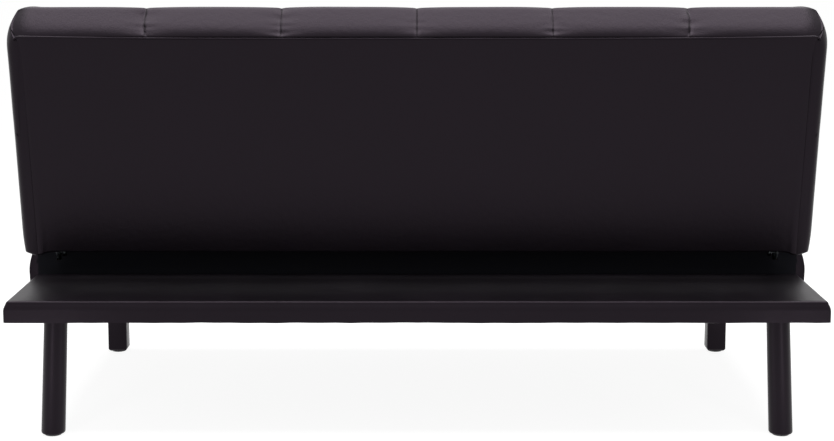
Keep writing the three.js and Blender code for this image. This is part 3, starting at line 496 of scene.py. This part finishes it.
def stuff(piece, held, pressure, slack, cap):
    """Swells the skin between its seams as foam does, by a cloth simulation. No point moves past the cap,
    which is lower near the far end, where the filling is firm."""
    settling_frames = 20
    firm_reach, firm_share = 0.1, 0.25
    start = points_of(piece)
    piece.vertex_groups.new(name="held").add(held, 1.0, "REPLACE")
    cloth = piece.modifiers.new("stuffing", "CLOTH")
    settings = cloth.settings
    settings.quality, settings.mass = 4, 0.3
    settings.tension_stiffness = settings.compression_stiffness = 15
    settings.shear_stiffness, settings.bending_stiffness = 5, 2.0
    settings.use_pressure, settings.uniform_pressure_force = True, pressure
    settings.vertex_group_mass, settings.shrink_min = "held", -slack
    settings.effector_weights.gravity = 0
    cloth.collision_settings.use_collision = False
    cloth.point_cache.frame_start, cloth.point_cache.frame_end = 1, settling_frames
    for count in range(1, settling_frames + 1):
        scene.frame_set(count)
    swollen = piece.evaluated_get(bpy.context.evaluated_depsgraph_get())
    moved = points_of(swollen) - start
    piece.modifiers.remove(cloth)
    piece.vertex_groups.clear()
    scene.frame_set(1)
    reach = np.linalg.norm(moved, axis=1, keepdims=True)
    far_end = start[:, 1:2].max()
    caps = cap * np.clip((far_end - start[:, 1:2]) / firm_reach, firm_share, 1)
    moved *= np.minimum(1, caps / np.maximum(reach, 1e-9))
    piece.data.vertices.foreach_set("co", (start + moved).ravel())
    piece.data.update()


def pucker(piece, seams, amount, reach, seed, wave=0.0007):
    """Small gathers across the seams and faint waves all over, as sewn coated cloth has. A seam is an axis
    and its place."""
    wave_length, gather_pitch, gather_length = 0.13, 0.017, 0.06
    normals = np.empty(len(piece.data.vertices) * 3)
    piece.data.vertices.foreach_get("normal", normals)
    normals = normals.reshape(-1, 3)
    places = points_of(piece)
    for i, (place, normal) in enumerate(zip(places, normals)):
        x, y, z = place
        lift = wave * noise.noise(Vector((x / wave_length + seed, y / wave_length, z / wave_length)))
        for axis, at in seams:
            away = abs((x if axis == "X" else y) - at)
            if away < 4 * reach:
                run = (y + z if axis == "X" else x + z) / gather_pitch
                gather = noise.noise(Vector((run, away / gather_length, seed + at * 9)))
                lift += amount * gather * math.exp(-away / reach)
        places[i] += normal * lift
    piece.data.vertices.foreach_set("co", places.ravel())
    piece.data.update()


def paint_seam_shade(piece, seams, width=0.0021, deepest=0.85):
    """Marks how near each point is to a seam, as the strength of the painted shade along the seams. A seam is
    an axis and its place.
    """
    places = points_of(piece)
    marks = np.zeros(len(places))
    for axis, at in seams:
        marks = np.maximum(marks, 1 - np.abs(places[:, "XYZ".index(axis)] - at) / width)
    seam_shade_marks = piece.data.attributes.new("painted_seam_shade", "FLOAT", "POINT").data
    seam_shade_marks.foreach_set("value", np.clip(marks, 0, 1) * deepest)


def box_cutter(low, high):
    """A block between two corners, to cut a room with."""
    low, high = Vector(low), Vector(high)
    bpy.ops.object.select_all(action="DESELECT")
    bpy.ops.mesh.primitive_cube_add(size=1, location=(low + high) / 2)
    cutter = bpy.context.object
    cutter.data.transform(Matrix.Translation(cutter.location) @ Matrix.Diagonal((*(high - low), 1)))
    cutter.location = (0, 0, 0)
    return cutter


def cut_away(piece, cutters):
    """Cuts rooms and slots out of a cushion."""
    for cutter in cutters:
        apply(piece, "BOOLEAN", object=cutter, operation="DIFFERENCE", solver="MANIFOLD")
        bpy.data.objects.remove(cutter)
    piece.data.materials.clear()
    piece.data.materials.append(leather)
    piece.data.polygons.foreach_set("material_index", [0] * len(piece.data.polygons))


# The hinge's outline at rest, as circles round the pivot: rearward, upward and radius
arm_span, pin_span = (0.7752, 0.7864), (0.7634, 0.782)
slot_clearance = 0.003
seat_arm_head, ratchet, pivot_rivet = (0, 0, 0.019), (0, 0, 0.02), (0, 0, 0.008)
pawl_boss, pawl_eye = (-0.0102, -0.0408, 0.00875), (-0.0102, -0.0408, 0.007)
pawl_tooth = (0.0099, -0.0273, 0.0036)
seat_arm_tail = [(-0.0608, -0.0768, 0.015), (-0.1158, -0.1218, 0.015)]
back_arm = [(0, 0, 0.013), (0.0568, 0.062, 0.013), (0.0568, 0.142, 0.013)]
seat_side_shapes = [
    (arm_span, [seat_arm_head, pawl_boss, *seat_arm_tail]),
    (arm_span, [ratchet]),
    (arm_span, [pawl_eye, pawl_tooth]),
    (pin_span, [pawl_eye]),
    (pin_span, [pivot_rivet]),
]


def slot_cutter(side, span, circles, turns, centre):
    """A slot with the hinge's outline and a clearance round it, at each turn about the pivot."""
    points_round = 16
    cutters = []
    for turn in turns:
        cosine, sine = math.cos(turn), math.sin(turn)
        rim = []
        for y, z, radius in circles:
            for k in range(points_round):
                angle = 2 * math.pi * k / points_round
                reach = radius + slot_clearance
                py, pz = y + reach * math.cos(angle), z + reach * math.sin(angle)
                rim.append((py * cosine - pz * sine, py * sine + pz * cosine))
        hull = [rim[k] for k in geometry.convex_hull_2d([Vector(p) for p in rim])]
        count = len(hull)
        points = [(side * x, centre[0] + y, centre[1] + z) for x in span for y, z in hull]
        faces = [(k, (k + 1) % count, (k + 1) % count + count, k + count) for k in range(count)]
        faces += [tuple(range(count - 1, -1, -1)), tuple(range(count, 2 * count))]
        cutter = new_piece("slot", points, faces, leather)
        select_only(cutter)
        bpy.ops.object.mode_set(mode="EDIT")
        bpy.ops.mesh.select_all(action="SELECT")
        bpy.ops.mesh.normals_make_consistent(inside=False)
        bpy.ops.object.mode_set(mode="OBJECT")
        cutters.append(cutter)
    return cutters


seat_width, seat_length, seat_front = 1.676, 0.552, -0.4195
seat_bottom, seat_top = 0.205, 0.405
seat_swell = 0.009
seat_draw_in, seat_belly, front_belly, rear_belly_share = 0.012, 0.01, 0.008, 0.3
# The belly is widest at 65 % of the border's height, and the draw in starts there
belly_skew, draw_in_share = 1.609, 0.65
front_seam_groove, front_seam_fade = 0.005, 0.35
rear_corner_square, low_corner_square = 0.95, 0.75
# Room for the folded corners of the back when it lies flat
hollow_depth, hollow_place, hollow_reach = 0.0095, 0.808, 0.034
hollow_low, hollow_high, hollow_edge = 0.076, 0.13, 0.012
border_height = seat_top - seat_bottom - seat_swell - edge_radius
border_levels = [border_height * (1 - k / 13) for k in range(1, 13)] + [0.004, 0]


def seat_border(rim, square, seam, stitch):
    """Bellies out, then draws in to the frame's lower edge, with tight corners at the rear. The lengthways
    seams run on down the front."""
    column = []
    for z in border_levels:
        share = z / border_height
        reach = rim[1] / seat_length
        if reach > 0.5:
            tight = rear_corner_square * min(1, 1.6 * (1 - share)) ** 0.7
        else:
            tight = low_corner_square * (1 - share) ** 0.8
        x, y = (r + (q - r) * tight for r, q in zip(rim, square))
        at_front, at_rear = reach < 0.02, reach > 0.97
        belly = math.sin(math.pi * share**belly_skew)
        drawn = max(0, 1 - share / draw_in_share) ** 2
        fuller = 1 + rear_belly_share * reach**3
        wide = 1 + (seat_belly * belly * fuller - seat_draw_in * drawn) * 2 / seat_width
        hollow = hollow_depth * math.exp(-(((abs(rim[0]) - hollow_place) / hollow_reach) ** 4)) * at_rear
        rising = min(1, max(0, (z - hollow_low + hollow_edge) / hollow_edge))
        hollow *= rising * min(1, max(0, (hollow_high + hollow_edge - z) / hollow_edge))
        pulled = (front_seam_groove * seam + stitch) * at_front * min(1, 0.1 + share / front_seam_fade)
        column.append((x * wide, y - front_belly * (belly - drawn) * (1 - reach) + pulled - hollow, z))
    return column


points, faces, held = tufted_cap(
    seat_width,
    seat_length,
    seat_top - seat_bottom - seat_swell,
    edge_radius,
    (tuft_columns, tuft_rows),
    groove=0.009,
    kept=(0.5, 0),
    far_square=0.6,
    border=seat_border,
)
seat = new_piece("seat_leather", points, faces, leather)
stuff(seat, held, pressure=4.0, slack=0.012, cap=0.016)
refine(seat)
seat_seams = [("X", seat_width * (k / tuft_columns - 0.5)) for k in range(1, tuft_columns)]
seat_seams.append(("Y", seat_length / 2))
pucker(seat, seat_seams, amount=0.0014, reach=0.02, seed=3.1)
# How strongly each point of the seat gets the painted shade along its seams
paint_seam_shade(seat, seat_seams)
seat.data.transform(Matrix.Translation((0, seat_front, seat_bottom)))
# Rooms for the frame with its springs, for the tie rails to the shelf, and for the hinges
frame_half = 0.8053
tie_rail_span, tie_rail_low, tie_rail_high = (0.4847, 0.5153), 0.246, 0.2686
seat_cutters = [box_cutter((-frame_half, -0.4058, 0.19), (frame_half, 0.1208, 0.3403))]
for s in (1, -1):
    tie = sorted(s * v for v in tie_rail_span)
    seat_cutters.append(box_cutter((tie[0], 0.1, tie_rail_low), (tie[1], 0.16, tie_rail_high)))
    for span, circles in seat_side_shapes:
        seat_cutters += slot_cutter(s, span, circles, [0], hinge_axis)
cut_away(seat, seat_cutters)
smooth(seat, 50)
# The rear of the seat, which the back hides from most sides, is closed with a plain black cloth
thread_pitch, thread_relief = 0.0015, 0.0003
rear_cloth_half, rear_cloth_from = 0.83, 0.118
rear_cloth, tree, shader = new_finish("black_backing_cloth", "28282d", 0.95, 0.05)
place = add_node(tree, "ShaderNodeTexCoord").outputs["Object"]
weave = add_node(tree, "ShaderNodeTexNoise", {"Vector": place, "Scale": 1 / thread_pitch, "Detail": 3.0})
relief = add_node(
    tree,
    "ShaderNodeBump",
    {"Height": weave.outputs[0], "Strength": 0.3, "Distance": thread_relief},
)
tree.links.new(relief.outputs[0], shader["Normal"])
seat.data.materials.append(rear_cloth)
for face in seat.data.polygons:
    middle = face.center
    if face.normal.y > 0.7 and middle.y > rear_cloth_from and abs(middle.x) < rear_cloth_half:
        face.material_index = 1
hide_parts("seat_cushion")
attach(seat, "base")

# ---- The seat's dust cloth
# Black spun cloth that keeps dust out: a thin felt of polypropylene fibres, welded together in small dots. It
# is pulled flat and stapled under the frame along its edges.
dot_pitch, dot_relief = 0.003, 0.0004
fibre_pitch = 0.0015
spun_cloth, tree, shader = new_finish("black_spun_cloth", "1b1b1d", 0.92, 0.15)
place = add_node(tree, "ShaderNodeTexCoord").outputs["Object"]
dots = add_node(
    tree, "ShaderNodeTexVoronoi", {"Vector": place, "Scale": 1 / dot_pitch, "Randomness": 0.0}, feature="F1"
)
fibres = add_node(tree, "ShaderNodeTexNoise", {"Vector": place, "Scale": 1 / fibre_pitch, "Detail": 4.0})
tone = add_node(tree, "ShaderNodeValToRGB", {"Fac": fibres.outputs[0]})
tone.color_ramp.elements[0].color = linear("141415")
tone.color_ramp.elements[1].color = linear("29292c")
tree.links.new(tone.outputs[0], shader["Base Color"])
relief = add_node(
    tree,
    "ShaderNodeBump",
    {"Height": dots.outputs["Distance"], "Strength": 0.4, "Distance": dot_relief},
)
tree.links.new(relief.outputs[0], shader["Normal"])


def dust_cloth(name, node, thickness, sag, seed):
    """A cloth pulled flat and stapled along its edges, with slight waves between them."""
    grid_pitch, staple_hold = 0.02, 0.06
    low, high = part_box(node)
    wide, deep = high.x - low.x, high.y - low.y
    bpy.ops.object.select_all(action="DESELECT")
    columns, rows = max(2, round(wide / grid_pitch)), max(2, round(deep / grid_pitch))
    bpy.ops.mesh.primitive_grid_add(x_subdivisions=columns, y_subdivisions=rows, size=1)
    cloth = bpy.context.object
    cloth.name = name
    middle = ((low.x + high.x) / 2, (low.y + high.y) / 2, high.z - thickness)
    cloth.data.transform(Matrix.Translation(middle) @ Matrix.Diagonal((wide, deep, 1, 1)))
    cloth.location = (0, 0, 0)
    for vertex in cloth.data.vertices:
        x, y, z = vertex.co
        inner = min(1, min(x - low.x, high.x - x, y - low.y, high.y - y) / staple_hold)
        vertex.co.z -= sag * inner * (0.5 + noise.noise(Vector((x / 0.16, y / 0.11, seed))))
    apply(cloth, "SOLIDIFY", thickness=thickness, offset=1)
    cloth.data.materials.append(spun_cloth)
    smooth(cloth)
    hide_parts(node)
    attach(cloth, "base")


spun_gauge = 0.0006
dust_cloth("seat_spun_cloth", "seat_dust_cloth", spun_gauge, sag=0.0016, seed=2.4)

# ---- The shelf
# A chipboard panel in thin foam and the same leather, drawn over the edges and stapled below. At each end the
# cover is pulled down harder, so the top slopes there, in a strip that narrows towards the rear corner.
shelf_width, shelf_depth, shelf_thickness = 1.67, 0.2947, 0.0434
shelf_top, shelf_rear = 0.2876, 0.4275
shelf_edge = 0.006
shelf_bulge, bulge_from = 0.0045, 0.0228
end_slope_width, end_slope_least, end_slope_drop = 0.03, 0.006, 0.0012
corner_overrun, corner_reach = 0.012, 0.04
shelf_wave_length, hem_wave, hem_reach = 0.035, 0.0012, 0.012
chip_size = 0.004

core_board, tree, shader = new_finish("chipboard", "9f8058", 0.85, 0.3)
place = add_node(tree, "ShaderNodeTexCoord").outputs["Object"]
chips = add_node(tree, "ShaderNodeTexVoronoi", {"Vector": place, "Scale": 1 / chip_size})
tone = add_node(tree, "ShaderNodeValToRGB", {"Fac": chips.outputs["Color"]})
tone.color_ramp.elements[0].color = linear("80623f")
tone.color_ramp.elements[1].color = linear("c3a67a")
tree.links.new(tone.outputs[0], shader["Base Color"])
dress(["shelf_core"], core_board)


def shelf_border(rim, square, seam, stitch):
    """Bulges out below the top's edge and goes straight down from there."""
    column = []
    rim_height = shelf_thickness - shelf_edge
    for z in (0.0346, 0.0306, 0.0266, bulge_from, 0.0171, 0.0114, 0.0057, 0.002, 0):
        out = shelf_bulge * (1 - max(0, (z - bulge_from) / (rim_height - bulge_from)) ** 2)
        reach = rim[1] / (shelf_depth - shelf_bulge)
        column.append((rim[0] * (1 + 2 * out / shelf_width), rim[1] + out * reach, z))
    return column


# Plain and untufted, on a finer mesh than the cushions
mesh_pitch = 0.009
points, faces, held = tufted_cap(
    shelf_width - 2 * shelf_bulge,
    shelf_depth - shelf_bulge,
    shelf_thickness,
    shelf_edge,
    (1, 1),
    groove=0,
    kept=(0, 0),
    far_square=0,
    border=shelf_border,
)
shelf = new_piece("shelf_leather", points, faces, leather)
places = points_of(shelf)
for i, (x, y, z) in enumerate(places):
    to_end = shelf_width / 2 - abs(x)
    to_rear = shelf_depth - y
    narrowing = math.exp(-((to_rear + corner_overrun) / corner_reach) ** 2)
    wide = end_slope_width * (1 - narrowing) + end_slope_least
    top_share = max(0, (z - 0.4 * shelf_thickness) / (0.6 * shelf_thickness))
    slope = max(0, 1 - to_end / wide)
    places[i][2] -= end_slope_drop * slope**0.8 * top_share
    low_share = max(0, 1 - z / hem_reach)
    wave = noise.noise(Vector((x / shelf_wave_length, y / shelf_wave_length, 7.7)))
    places[i][2] += low_share * hem_wave * wave
    places[i][1] += (0.0007 if y > shelf_depth / 2 else -0.0002) * wave * (1 - top_share)
shelf.data.vertices.foreach_set("co", places.ravel())
shelf.data.update()
refine(shelf)
pucker(shelf, [], amount=0, reach=0.02, seed=8.3, wave=0.0003)
shelf.data.transform(Matrix.Translation((0, shelf_rear - shelf_depth, shelf_top - shelf_thickness)))
shelf_front = shelf_rear - shelf_depth
# The rooms are for the board, for the opening inside the turned-in hem, and for the tie rails
board_wall, hem_wall = 0.007, 0.025
board_half, opening_half = 0.823, 0.805
shelf_cutters = [
    box_cutter((-board_half, shelf_front + board_wall, 0.246), (board_half, shelf_rear - board_wall, 0.28)),
    box_cutter((-opening_half, shelf_front + hem_wall, 0.23), (opening_half, shelf_rear - hem_wall, 0.25)),
]
for s in (1, -1):
    tie = sorted(s * v for v in tie_rail_span)
    shelf_cutters.append(box_cutter((tie[0], 0.12, tie_rail_low), (tie[1], 0.16, tie_rail_high)))
cut_away(shelf, shelf_cutters)
smooth(shelf, 50)
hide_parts("shelf_cover")
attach(shelf, "base")
dust_cloth("shelf_spun_cloth", "shelf_dust_cloth", spun_gauge, sag=0.0004, seed=5.9)

# ---- The rear legs
# Round turned legs in black lacquer, 48 mm thick, that stand a little outwards. Each is screwed to a steel
# plate under the shelf and has a rounded foot with a plastic glide.
peel_pitch, peel_relief, dust_patch = 0.004, 0.0004, 0.05
lacquer, tree, shader = new_finish("black_lacquer", "0b090c", 0.4, 0.15)
place = add_node(tree, "ShaderNodeTexCoord").outputs["Object"]
peel = add_node(tree, "ShaderNodeTexNoise", {"Vector": place, "Scale": 1 / peel_pitch, "Detail": 2.0})
relief = add_node(
    tree,
    "ShaderNodeBump",
    {"Height": peel.outputs[0], "Strength": 0.12, "Distance": peel_relief},
)
dust = add_node(tree, "ShaderNodeTexNoise", {"Vector": place, "Scale": 1 / dust_patch, "Detail": 4.0})
matter = add_node(tree, "ShaderNodeMapRange", {"Value": dust.outputs[0], "To Min": 0.3, "To Max": 0.38})
tree.links.new(matter.outputs[0], shader["Roughness"])
tree.links.new(relief.outputs[0], shader["Normal"])
shader["Specular Tint"].default_value = linear("ffe6ff")

leg_foot, leg_top = 0.003, 0.2405
foot_radius, top_radius = 0.0245, 0.0237
leg_rounding, leg_sides = 0.005, 64
splay = math.tan(math.radians(2.86))
rear_leg_place = (0.7372, 0.3825)


def choose(piece, wanted):
    """Goes into edit mode with only the edges selected whose two ends pass the test."""
    select_only(piece)
    bpy.ops.object.mode_set(mode="EDIT")
    bpy.ops.mesh.select_mode(type="EDGE")
    bpy.ops.mesh.select_all(action="DESELECT")
    bpy.ops.object.mode_set(mode="OBJECT")
    places = [v.co for v in piece.data.vertices]
    for edge in piece.data.edges:
        edge.select = all(wanted(places[k]) for k in edge.vertices)
    bpy.ops.object.mode_set(mode="EDIT")


signed_sides = (("left", -1), ("right", 1))
for side, s in signed_sides:
    bpy.ops.object.select_all(action="DESELECT")
    bpy.ops.mesh.primitive_cylinder_add(
        vertices=leg_sides,
        radius=foot_radius,
        depth=leg_top - leg_foot,
        location=(0, 0, (leg_top + leg_foot) / 2),
    )
    leg = bpy.context.object
    leg.name = "turned_rear_leg_" + side
    bpy.ops.object.transform_apply(location=True)
    choose(leg, lambda p: p.z > leg_top - 0.001)
    narrow = top_radius / foot_radius
    bpy.ops.transform.resize(value=(narrow, narrow, 1))
    bpy.ops.object.mode_set(mode="OBJECT")
    choose(leg, lambda p: p.z < leg_foot + 0.001)
    bpy.ops.mesh.bevel(offset=leg_rounding, segments=5, affect="EDGES")
    bpy.ops.object.mode_set(mode="OBJECT")
    slant = Matrix.Identity(4)
    slant[0][2] = -s * splay
    slant[0][3] = s * splay * leg_top
    leg.data.transform(Matrix.Translation((s * rear_leg_place[0], rear_leg_place[1], 0)) @ slant)
    smooth(leg, 30)
    leg.data.materials.append(lacquer)
    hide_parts("rear_leg_" + side)
    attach(leg, "base")

# ---- The front legs
# Square legs in the same lacquer, 45 mm wide, screwed up into the frame's cleats, with softened corners and
# chamfered feet.
leg_corner = 0.002
for side in two_sides:
    eased_copy("front_leg_" + side, "square_front_leg_" + side, leg_corner, "base", lacquer)

# ---- The foot glides
# Round discs of black polypropylene under the legs, which let the sofa slide. Each is nailed on through its
# middle, matt from the mould and scuffed by the floor.
scuff_size, glide_edge = 0.003, 0.0006
glide_plastic, tree, shader = new_finish("black_polypropylene", "202022", 0.55, 0.4)
place = add_node(tree, "ShaderNodeTexCoord").outputs["Object"]
scuffs = add_node(tree, "ShaderNodeTexNoise", {"Vector": place, "Scale": 1 / scuff_size, "Detail": 5.0})
matter = add_node(tree, "ShaderNodeMapRange", {"Value": scuffs.outputs[0], "To Min": 0.42, "To Max": 0.7})
tree.links.new(matter.outputs[0], shader["Roughness"])
for end in ("rear", "front"):
    for side in two_sides:
        node = end + "_foot_glide_" + side
        eased_copy(node, "moulded_" + node, glide_edge, "base", glide_plastic)

# ---- The back's frame
# The same planed softwood, glued and screwed: two side rails that the hinges are bolted to, a bottom rail, a
# top rail and a middle stile, with a bay of springs on each side of it.
dress(["back_rail_bottom", "back_rail_top"], pine_across)
dress(["back_stile", "back_rail_left", "back_rail_right"], pine_upright)

# ---- The back cushion
# A cap of foam in the same leather and tufts. It domes over the top to a seam at the rear, where the seams
# between the columns run on, and its corners are mitred.
back_width, back_height, back_depth = 1.66, 0.526, 0.115
back_rear, back_foot = 0.0868, -0.0078
back_swell, back_belly = 0.009, 0.009
seam_wall_groove, groove_fade = 0.0035, 0.012
foot_corner_square, foot_corner_reach = 0.95, 0.1
rear_rounding, foot_reach = 0.009, 0.03
# The cover's folded corners hang below the foot
foot_hang, hang_place, hang_reach, hang_depth = 0.0095, 0.808, 0.018, 0.05
# From the crest back and down to the rear seam: forward of the seam, and above it
dome = [
    (0.0545, 0.0509),
    (0.046, 0.044),
    (0.037, 0.0368),
    (0.028, 0.0295),
    (0.021, 0.0237),
    (0.0155, 0.019),
    (0.011, 0.0148),
    (0.0075, 0.0112),
    (0.0045, 0.0077),
    (0.0022, 0.0045),
    (0.0007, 0.0019),
    (0, 0),
]
dome_rise = 0.0524


def back_border(rim, square, seam, stitch):
    """Goes over the dome at the top and straight back elsewhere, rounds the rear edge, and squares the
    corners of the foot."""
    column = []
    top = back_depth - back_swell - edge_radius
    for level, (z, rise) in enumerate(dome):
        share = min(1, z / top)
        tight = foot_corner_square * (1 - share) ** 0.5 * (rim[1] < foot_corner_reach)
        x, y = (r + (q - r) * tight for r, q in zip(rim, square))
        reach = y / back_height
        ahead = dome[max(0, level - 1)]
        behind = dome[min(len(dome) - 1, level + 1)]
        run, climb = ahead[0] - behind[0], ahead[1] - behind[1]
        at_top, near_foot = reach > 0.98, max(0, 1 - y / foot_reach)
        inward = (seam_wall_groove * seam + stitch) * at_top * min(1, 0.2 + rise / groove_fade)
        inward /= math.hypot(run, climb)
        turn = rear_rounding * (1 - math.sqrt(max(0, 1 - max(0, 1 - z / rear_rounding) ** 2)))
        wide = 1 + (back_belly * math.sin(math.pi * share) - turn) * 2 / back_width
        hang = foot_hang * math.exp(-(((abs(x) - hang_place) / hang_reach) ** 2))
        hang *= max(0, 1 - z / hang_depth) * near_foot
        up = y + (rise - dome_rise) * reach - inward * run + 0.35 * turn * near_foot - hang
        column.append((x * wide, up, z + inward * climb))
    return column


points, faces, held = tufted_cap(
    back_width,
    back_height,
    back_depth - back_swell,
    edge_radius,
    (tuft_columns, tuft_rows),
    groove=0.01,
    kept=(0, 0.35),
    far_square=0.22,
    border=back_border,
)
cushion = new_piece("back_leather", points, faces, leather)
stuff(cushion, held, pressure=4.0, slack=0.012, cap=0.0095)
refine(cushion)
back_seams = [("X", back_width * (k / tuft_columns - 0.5)) for k in range(1, tuft_columns)]
back_seams.append(("Y", back_height / 2))
pucker(cushion, back_seams, amount=0.0014, reach=0.02, seed=5.3)
# How strongly each point of the back gets the painted shade along its seams
paint_seam_shade(cushion, back_seams)

# What is drawn upright round the hinge leans back into its place. The rooms are for the frame with its springs
# and for the hinges, at rest and as the back folds down.
lean = Matrix.Translation((0, *hinge_axis)) @ Matrix.Rotation(-back_lean, 4, "X")
upright = Matrix(((1, 0, 0, 0), (0, 0, -1, back_rear), (0, 1, 0, back_foot), (0, 0, 0, 1)))
cushion.data.transform(upright)
back_cutters = [
    box_cutter((-frame_half, 0.0315, 0.0002), (frame_half, 0.0918, 0.4592)),
    box_cutter((-frame_half, 0.081, 0.3), (frame_half, 0.0918, 0.4656)),
    box_cutter((-frame_half, 0.081, -0.02), (frame_half, 0.0918, 0.1)),
]
flat_turn = math.radians(77.92)
hinge_turns = [back_lean + flat_turn * k / 2 for k in range(3)]
for s in (1, -1):
    back_cutters += slot_cutter(s, arm_span, back_arm, [0], (0, 0))
    for span, circles in seat_side_shapes:
        back_cutters += slot_cutter(s, span, circles, hinge_turns, (0, 0))
cut_away(cushion, back_cutters)
cushion.data.transform(lean)
smooth(cushion, 50)
# The mitre seam of each top corner runs from the panel's corner outwards to the side, in twisted thread that
# stands a little out of the leather
mitre_start, mitre_end, mitre_steps = (0.8185, 0.4668), (0.8295, 0.479), 12
mitre_radius, mitre_lift = 0.0009, 0.2
twist_pitch, twist_relief = 0.003, 0.0003
seam_dark, tree, shader = new_finish("seam_thread", "060506", 0.8, 0.05)
place = add_node(tree, "ShaderNodeTexCoord").outputs["Object"]
twist = add_node(tree, "ShaderNodeTexWave", {"Vector": place, "Scale": 1 / twist_pitch})
relief = add_node(
    tree,
    "ShaderNodeBump",
    {"Height": twist.outputs["Fac"], "Strength": 0.3, "Distance": twist_relief},
)
tree.links.new(relief.outputs[0], shader["Normal"])


def sewn_cord(name, stations, radius, roundness, finish):
    """A round thread or cord along its stations, with closed ends."""
    line = bpy.data.curves.new(name, "CURVE")
    line.dimensions = "3D"
    line.bevel_depth = radius
    line.bevel_resolution = roundness
    line.use_fill_caps = True
    run = line.splines.new("POLY")
    run.points.add(len(stations) - 1)
    for point, station in zip(run.points, stations):
        point.co = (*station, 1)
    cord = bpy.data.objects.new(name, line)
    scene.collection.objects.link(cord)
    select_only(cord)
    bpy.ops.object.convert(target="MESH")
    cord.data.materials.append(finish)
    return cord


for side, s in signed_sides:
    stations = []
    for k in range(mitre_steps + 1):
        share = k / mitre_steps
        x = mitre_start[0] + (mitre_end[0] - mitre_start[0]) * share
        z = mitre_start[1] + (mitre_end[1] - mitre_start[1]) * share
        start = lean @ Vector((s * x, back_rear + 0.05, z))
        forward = lean.to_3x3() @ Vector((0, -1, 0))
        hit, spot, normal, _ = cushion.ray_cast(start, forward, distance=0.15)
        if hit:
            stations.append(spot + normal * mitre_radius * mitre_lift)
    thread = sewn_cord("mitre_seam_" + side, stations, mitre_radius, 2, seam_dark)
    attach(thread, "back")
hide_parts("back_cushion")
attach(cushion, "back")

# ---- The back's rear panel
# One flat piece of the leather, stretched over the rear of the frame. Its side edges are folded in, its top
# edge is sewn under the piping, and it is pulled round the foot, where it gathers at both corners.
panel_half, panel_high = 0.8065, 0.4625
panel_proud, panel_gauge = 0.0006, 0.0014
panel_flare, flare_reach = 0.008, 0.02
foot_turn, foot_tuck = 0.004, 0.024
hem_rise, hem_place, hem_spread = 0.0006, 0.006, 0.004
edge_turn, edge_reach = 0.0016, 0.0035
fold_turns, fold_height, fold_reach = 13, 0.0009, 0.02
slack_wave, slack_length = 0.0005, 0.2
top_sweep, sweep_reach = 0.0035, 0.02
pleat_depth, pleat_pitch, pleat_place, pleat_spread, pleat_height = 0.0005, 0.0045, 0.795, 0.014, 0.035
bpy.ops.object.select_all(action="DESELECT")
bpy.ops.mesh.primitive_grid_add(x_subdivisions=200, y_subdivisions=64, size=1)
panel = bpy.context.object
panel.name = "rear_panel_leather"
panel.data.materials.append(leather)
turn_length = foot_turn * math.pi / 2
panel_low = back_foot + foot_turn
panel_tall = panel_high - panel_low + turn_length + foot_tuck
for vertex in panel.data.vertices:
    run = panel_tall * (0.5 - vertex.co.y)
    half = panel_half + panel_flare * math.exp(-run / flare_reach)
    x = vertex.co.x * 2 * half
    below = run - (panel_high - panel_low)
    to_side = half - abs(x)
    hem = hem_rise * math.exp(-(((to_side - hem_place) / hem_spread) ** 2))
    hem -= edge_turn * max(0, 1 - to_side / edge_reach) ** 2
    corner = math.hypot(to_side, max(0, panel_high - run + 0.01))
    bearing = math.atan2(max(1e-4, panel_high - run), to_side)
    fan = math.sin(bearing * fold_turns) * math.exp(-corner / fold_reach) * fold_height
    slack = slack_wave * noise.noise(Vector((x / slack_length, run / slack_length, 1.3)))
    lift = hem + fan * min(1, corner / 0.01) + slack
    if below <= 0:
        vertex.co = (x, back_rear + panel_proud + lift, panel_high - run)
    elif below < turn_length:
        turn = below / foot_turn
        reach = foot_turn + lift
        centre = (back_rear + panel_proud - foot_turn, panel_low)
        vertex.co = (x, centre[0] + reach * math.cos(turn), centre[1] - reach * math.sin(turn))
    else:
        vertex.co = (x, back_rear + panel_proud - foot_turn - (below - turn_length), back_foot - lift)
# Then the corners of the foot hang down in pleats, and the top edge sweeps up to the corners
for vertex in panel.data.vertices:
    x, _, z = vertex.co
    hang = foot_hang * math.exp(-(((abs(x) - hang_place) / hang_reach) ** 2))
    vertex.co.z -= hang * max(0, 1 - (z - back_foot) / 0.04)
    vertex.co.z += top_sweep * (abs(x) / panel_half) ** 4 * math.exp(-(panel_high - z) / sweep_reach)
    gathered = math.exp(-((abs(x) - pleat_place) / pleat_spread) ** 2)
    pleat = math.sin((panel_half - abs(x)) / pleat_pitch) * gathered
    fading = math.exp(-max(0, z - back_foot) / pleat_height)
    vertex.co.y += pleat_depth * pleat * fading * (z > back_foot + foot_turn)
panel.data.update()
select_only(panel)
bpy.ops.object.mode_set(mode="EDIT")
bpy.ops.mesh.select_all(action="SELECT")
bpy.ops.mesh.flip_normals()
bpy.ops.object.mode_set(mode="OBJECT")
apply(panel, "SOLIDIFY", thickness=panel_gauge, offset=-1)
panel.data.transform(lean)
smooth(panel, 40)
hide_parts("back_panel")
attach(panel, "back")

# ---- The piping along the rear seam
# A cord wrapped in a strip of the leather, sewn between the panel and the dome. Its ends turn down at the
# corners.
piping_radius, piping_height, piping_proud = 0.0024, 0.4612, 0.0017
piping_half, piping_steps = 0.8195, 240
bow_rise, bow_half = 0.0045, 0.82
end_drop, end_from, end_run = 0.0065, 0.806, 0.0135
wander_size, wander_length = 0.0003, 0.05
stations = []
for k in range(piping_steps + 1):
    x = -piping_half + 2 * piping_half * k / piping_steps
    bow = bow_rise * (abs(x) / bow_half) ** 4 - end_drop * max(0, (abs(x) - end_from) / end_run) ** 2
    wander = wander_size * noise.noise(Vector((x / wander_length, 0, 4.4)))
    stations.append((x, back_rear + piping_proud - piping_radius + wander, piping_height + bow))
piping = sewn_cord("rear_seam_piping", stations, piping_radius, 3, leather)
piping.data.transform(lean)
smooth(piping, 50)
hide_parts("back_piping")
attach(piping, "back")
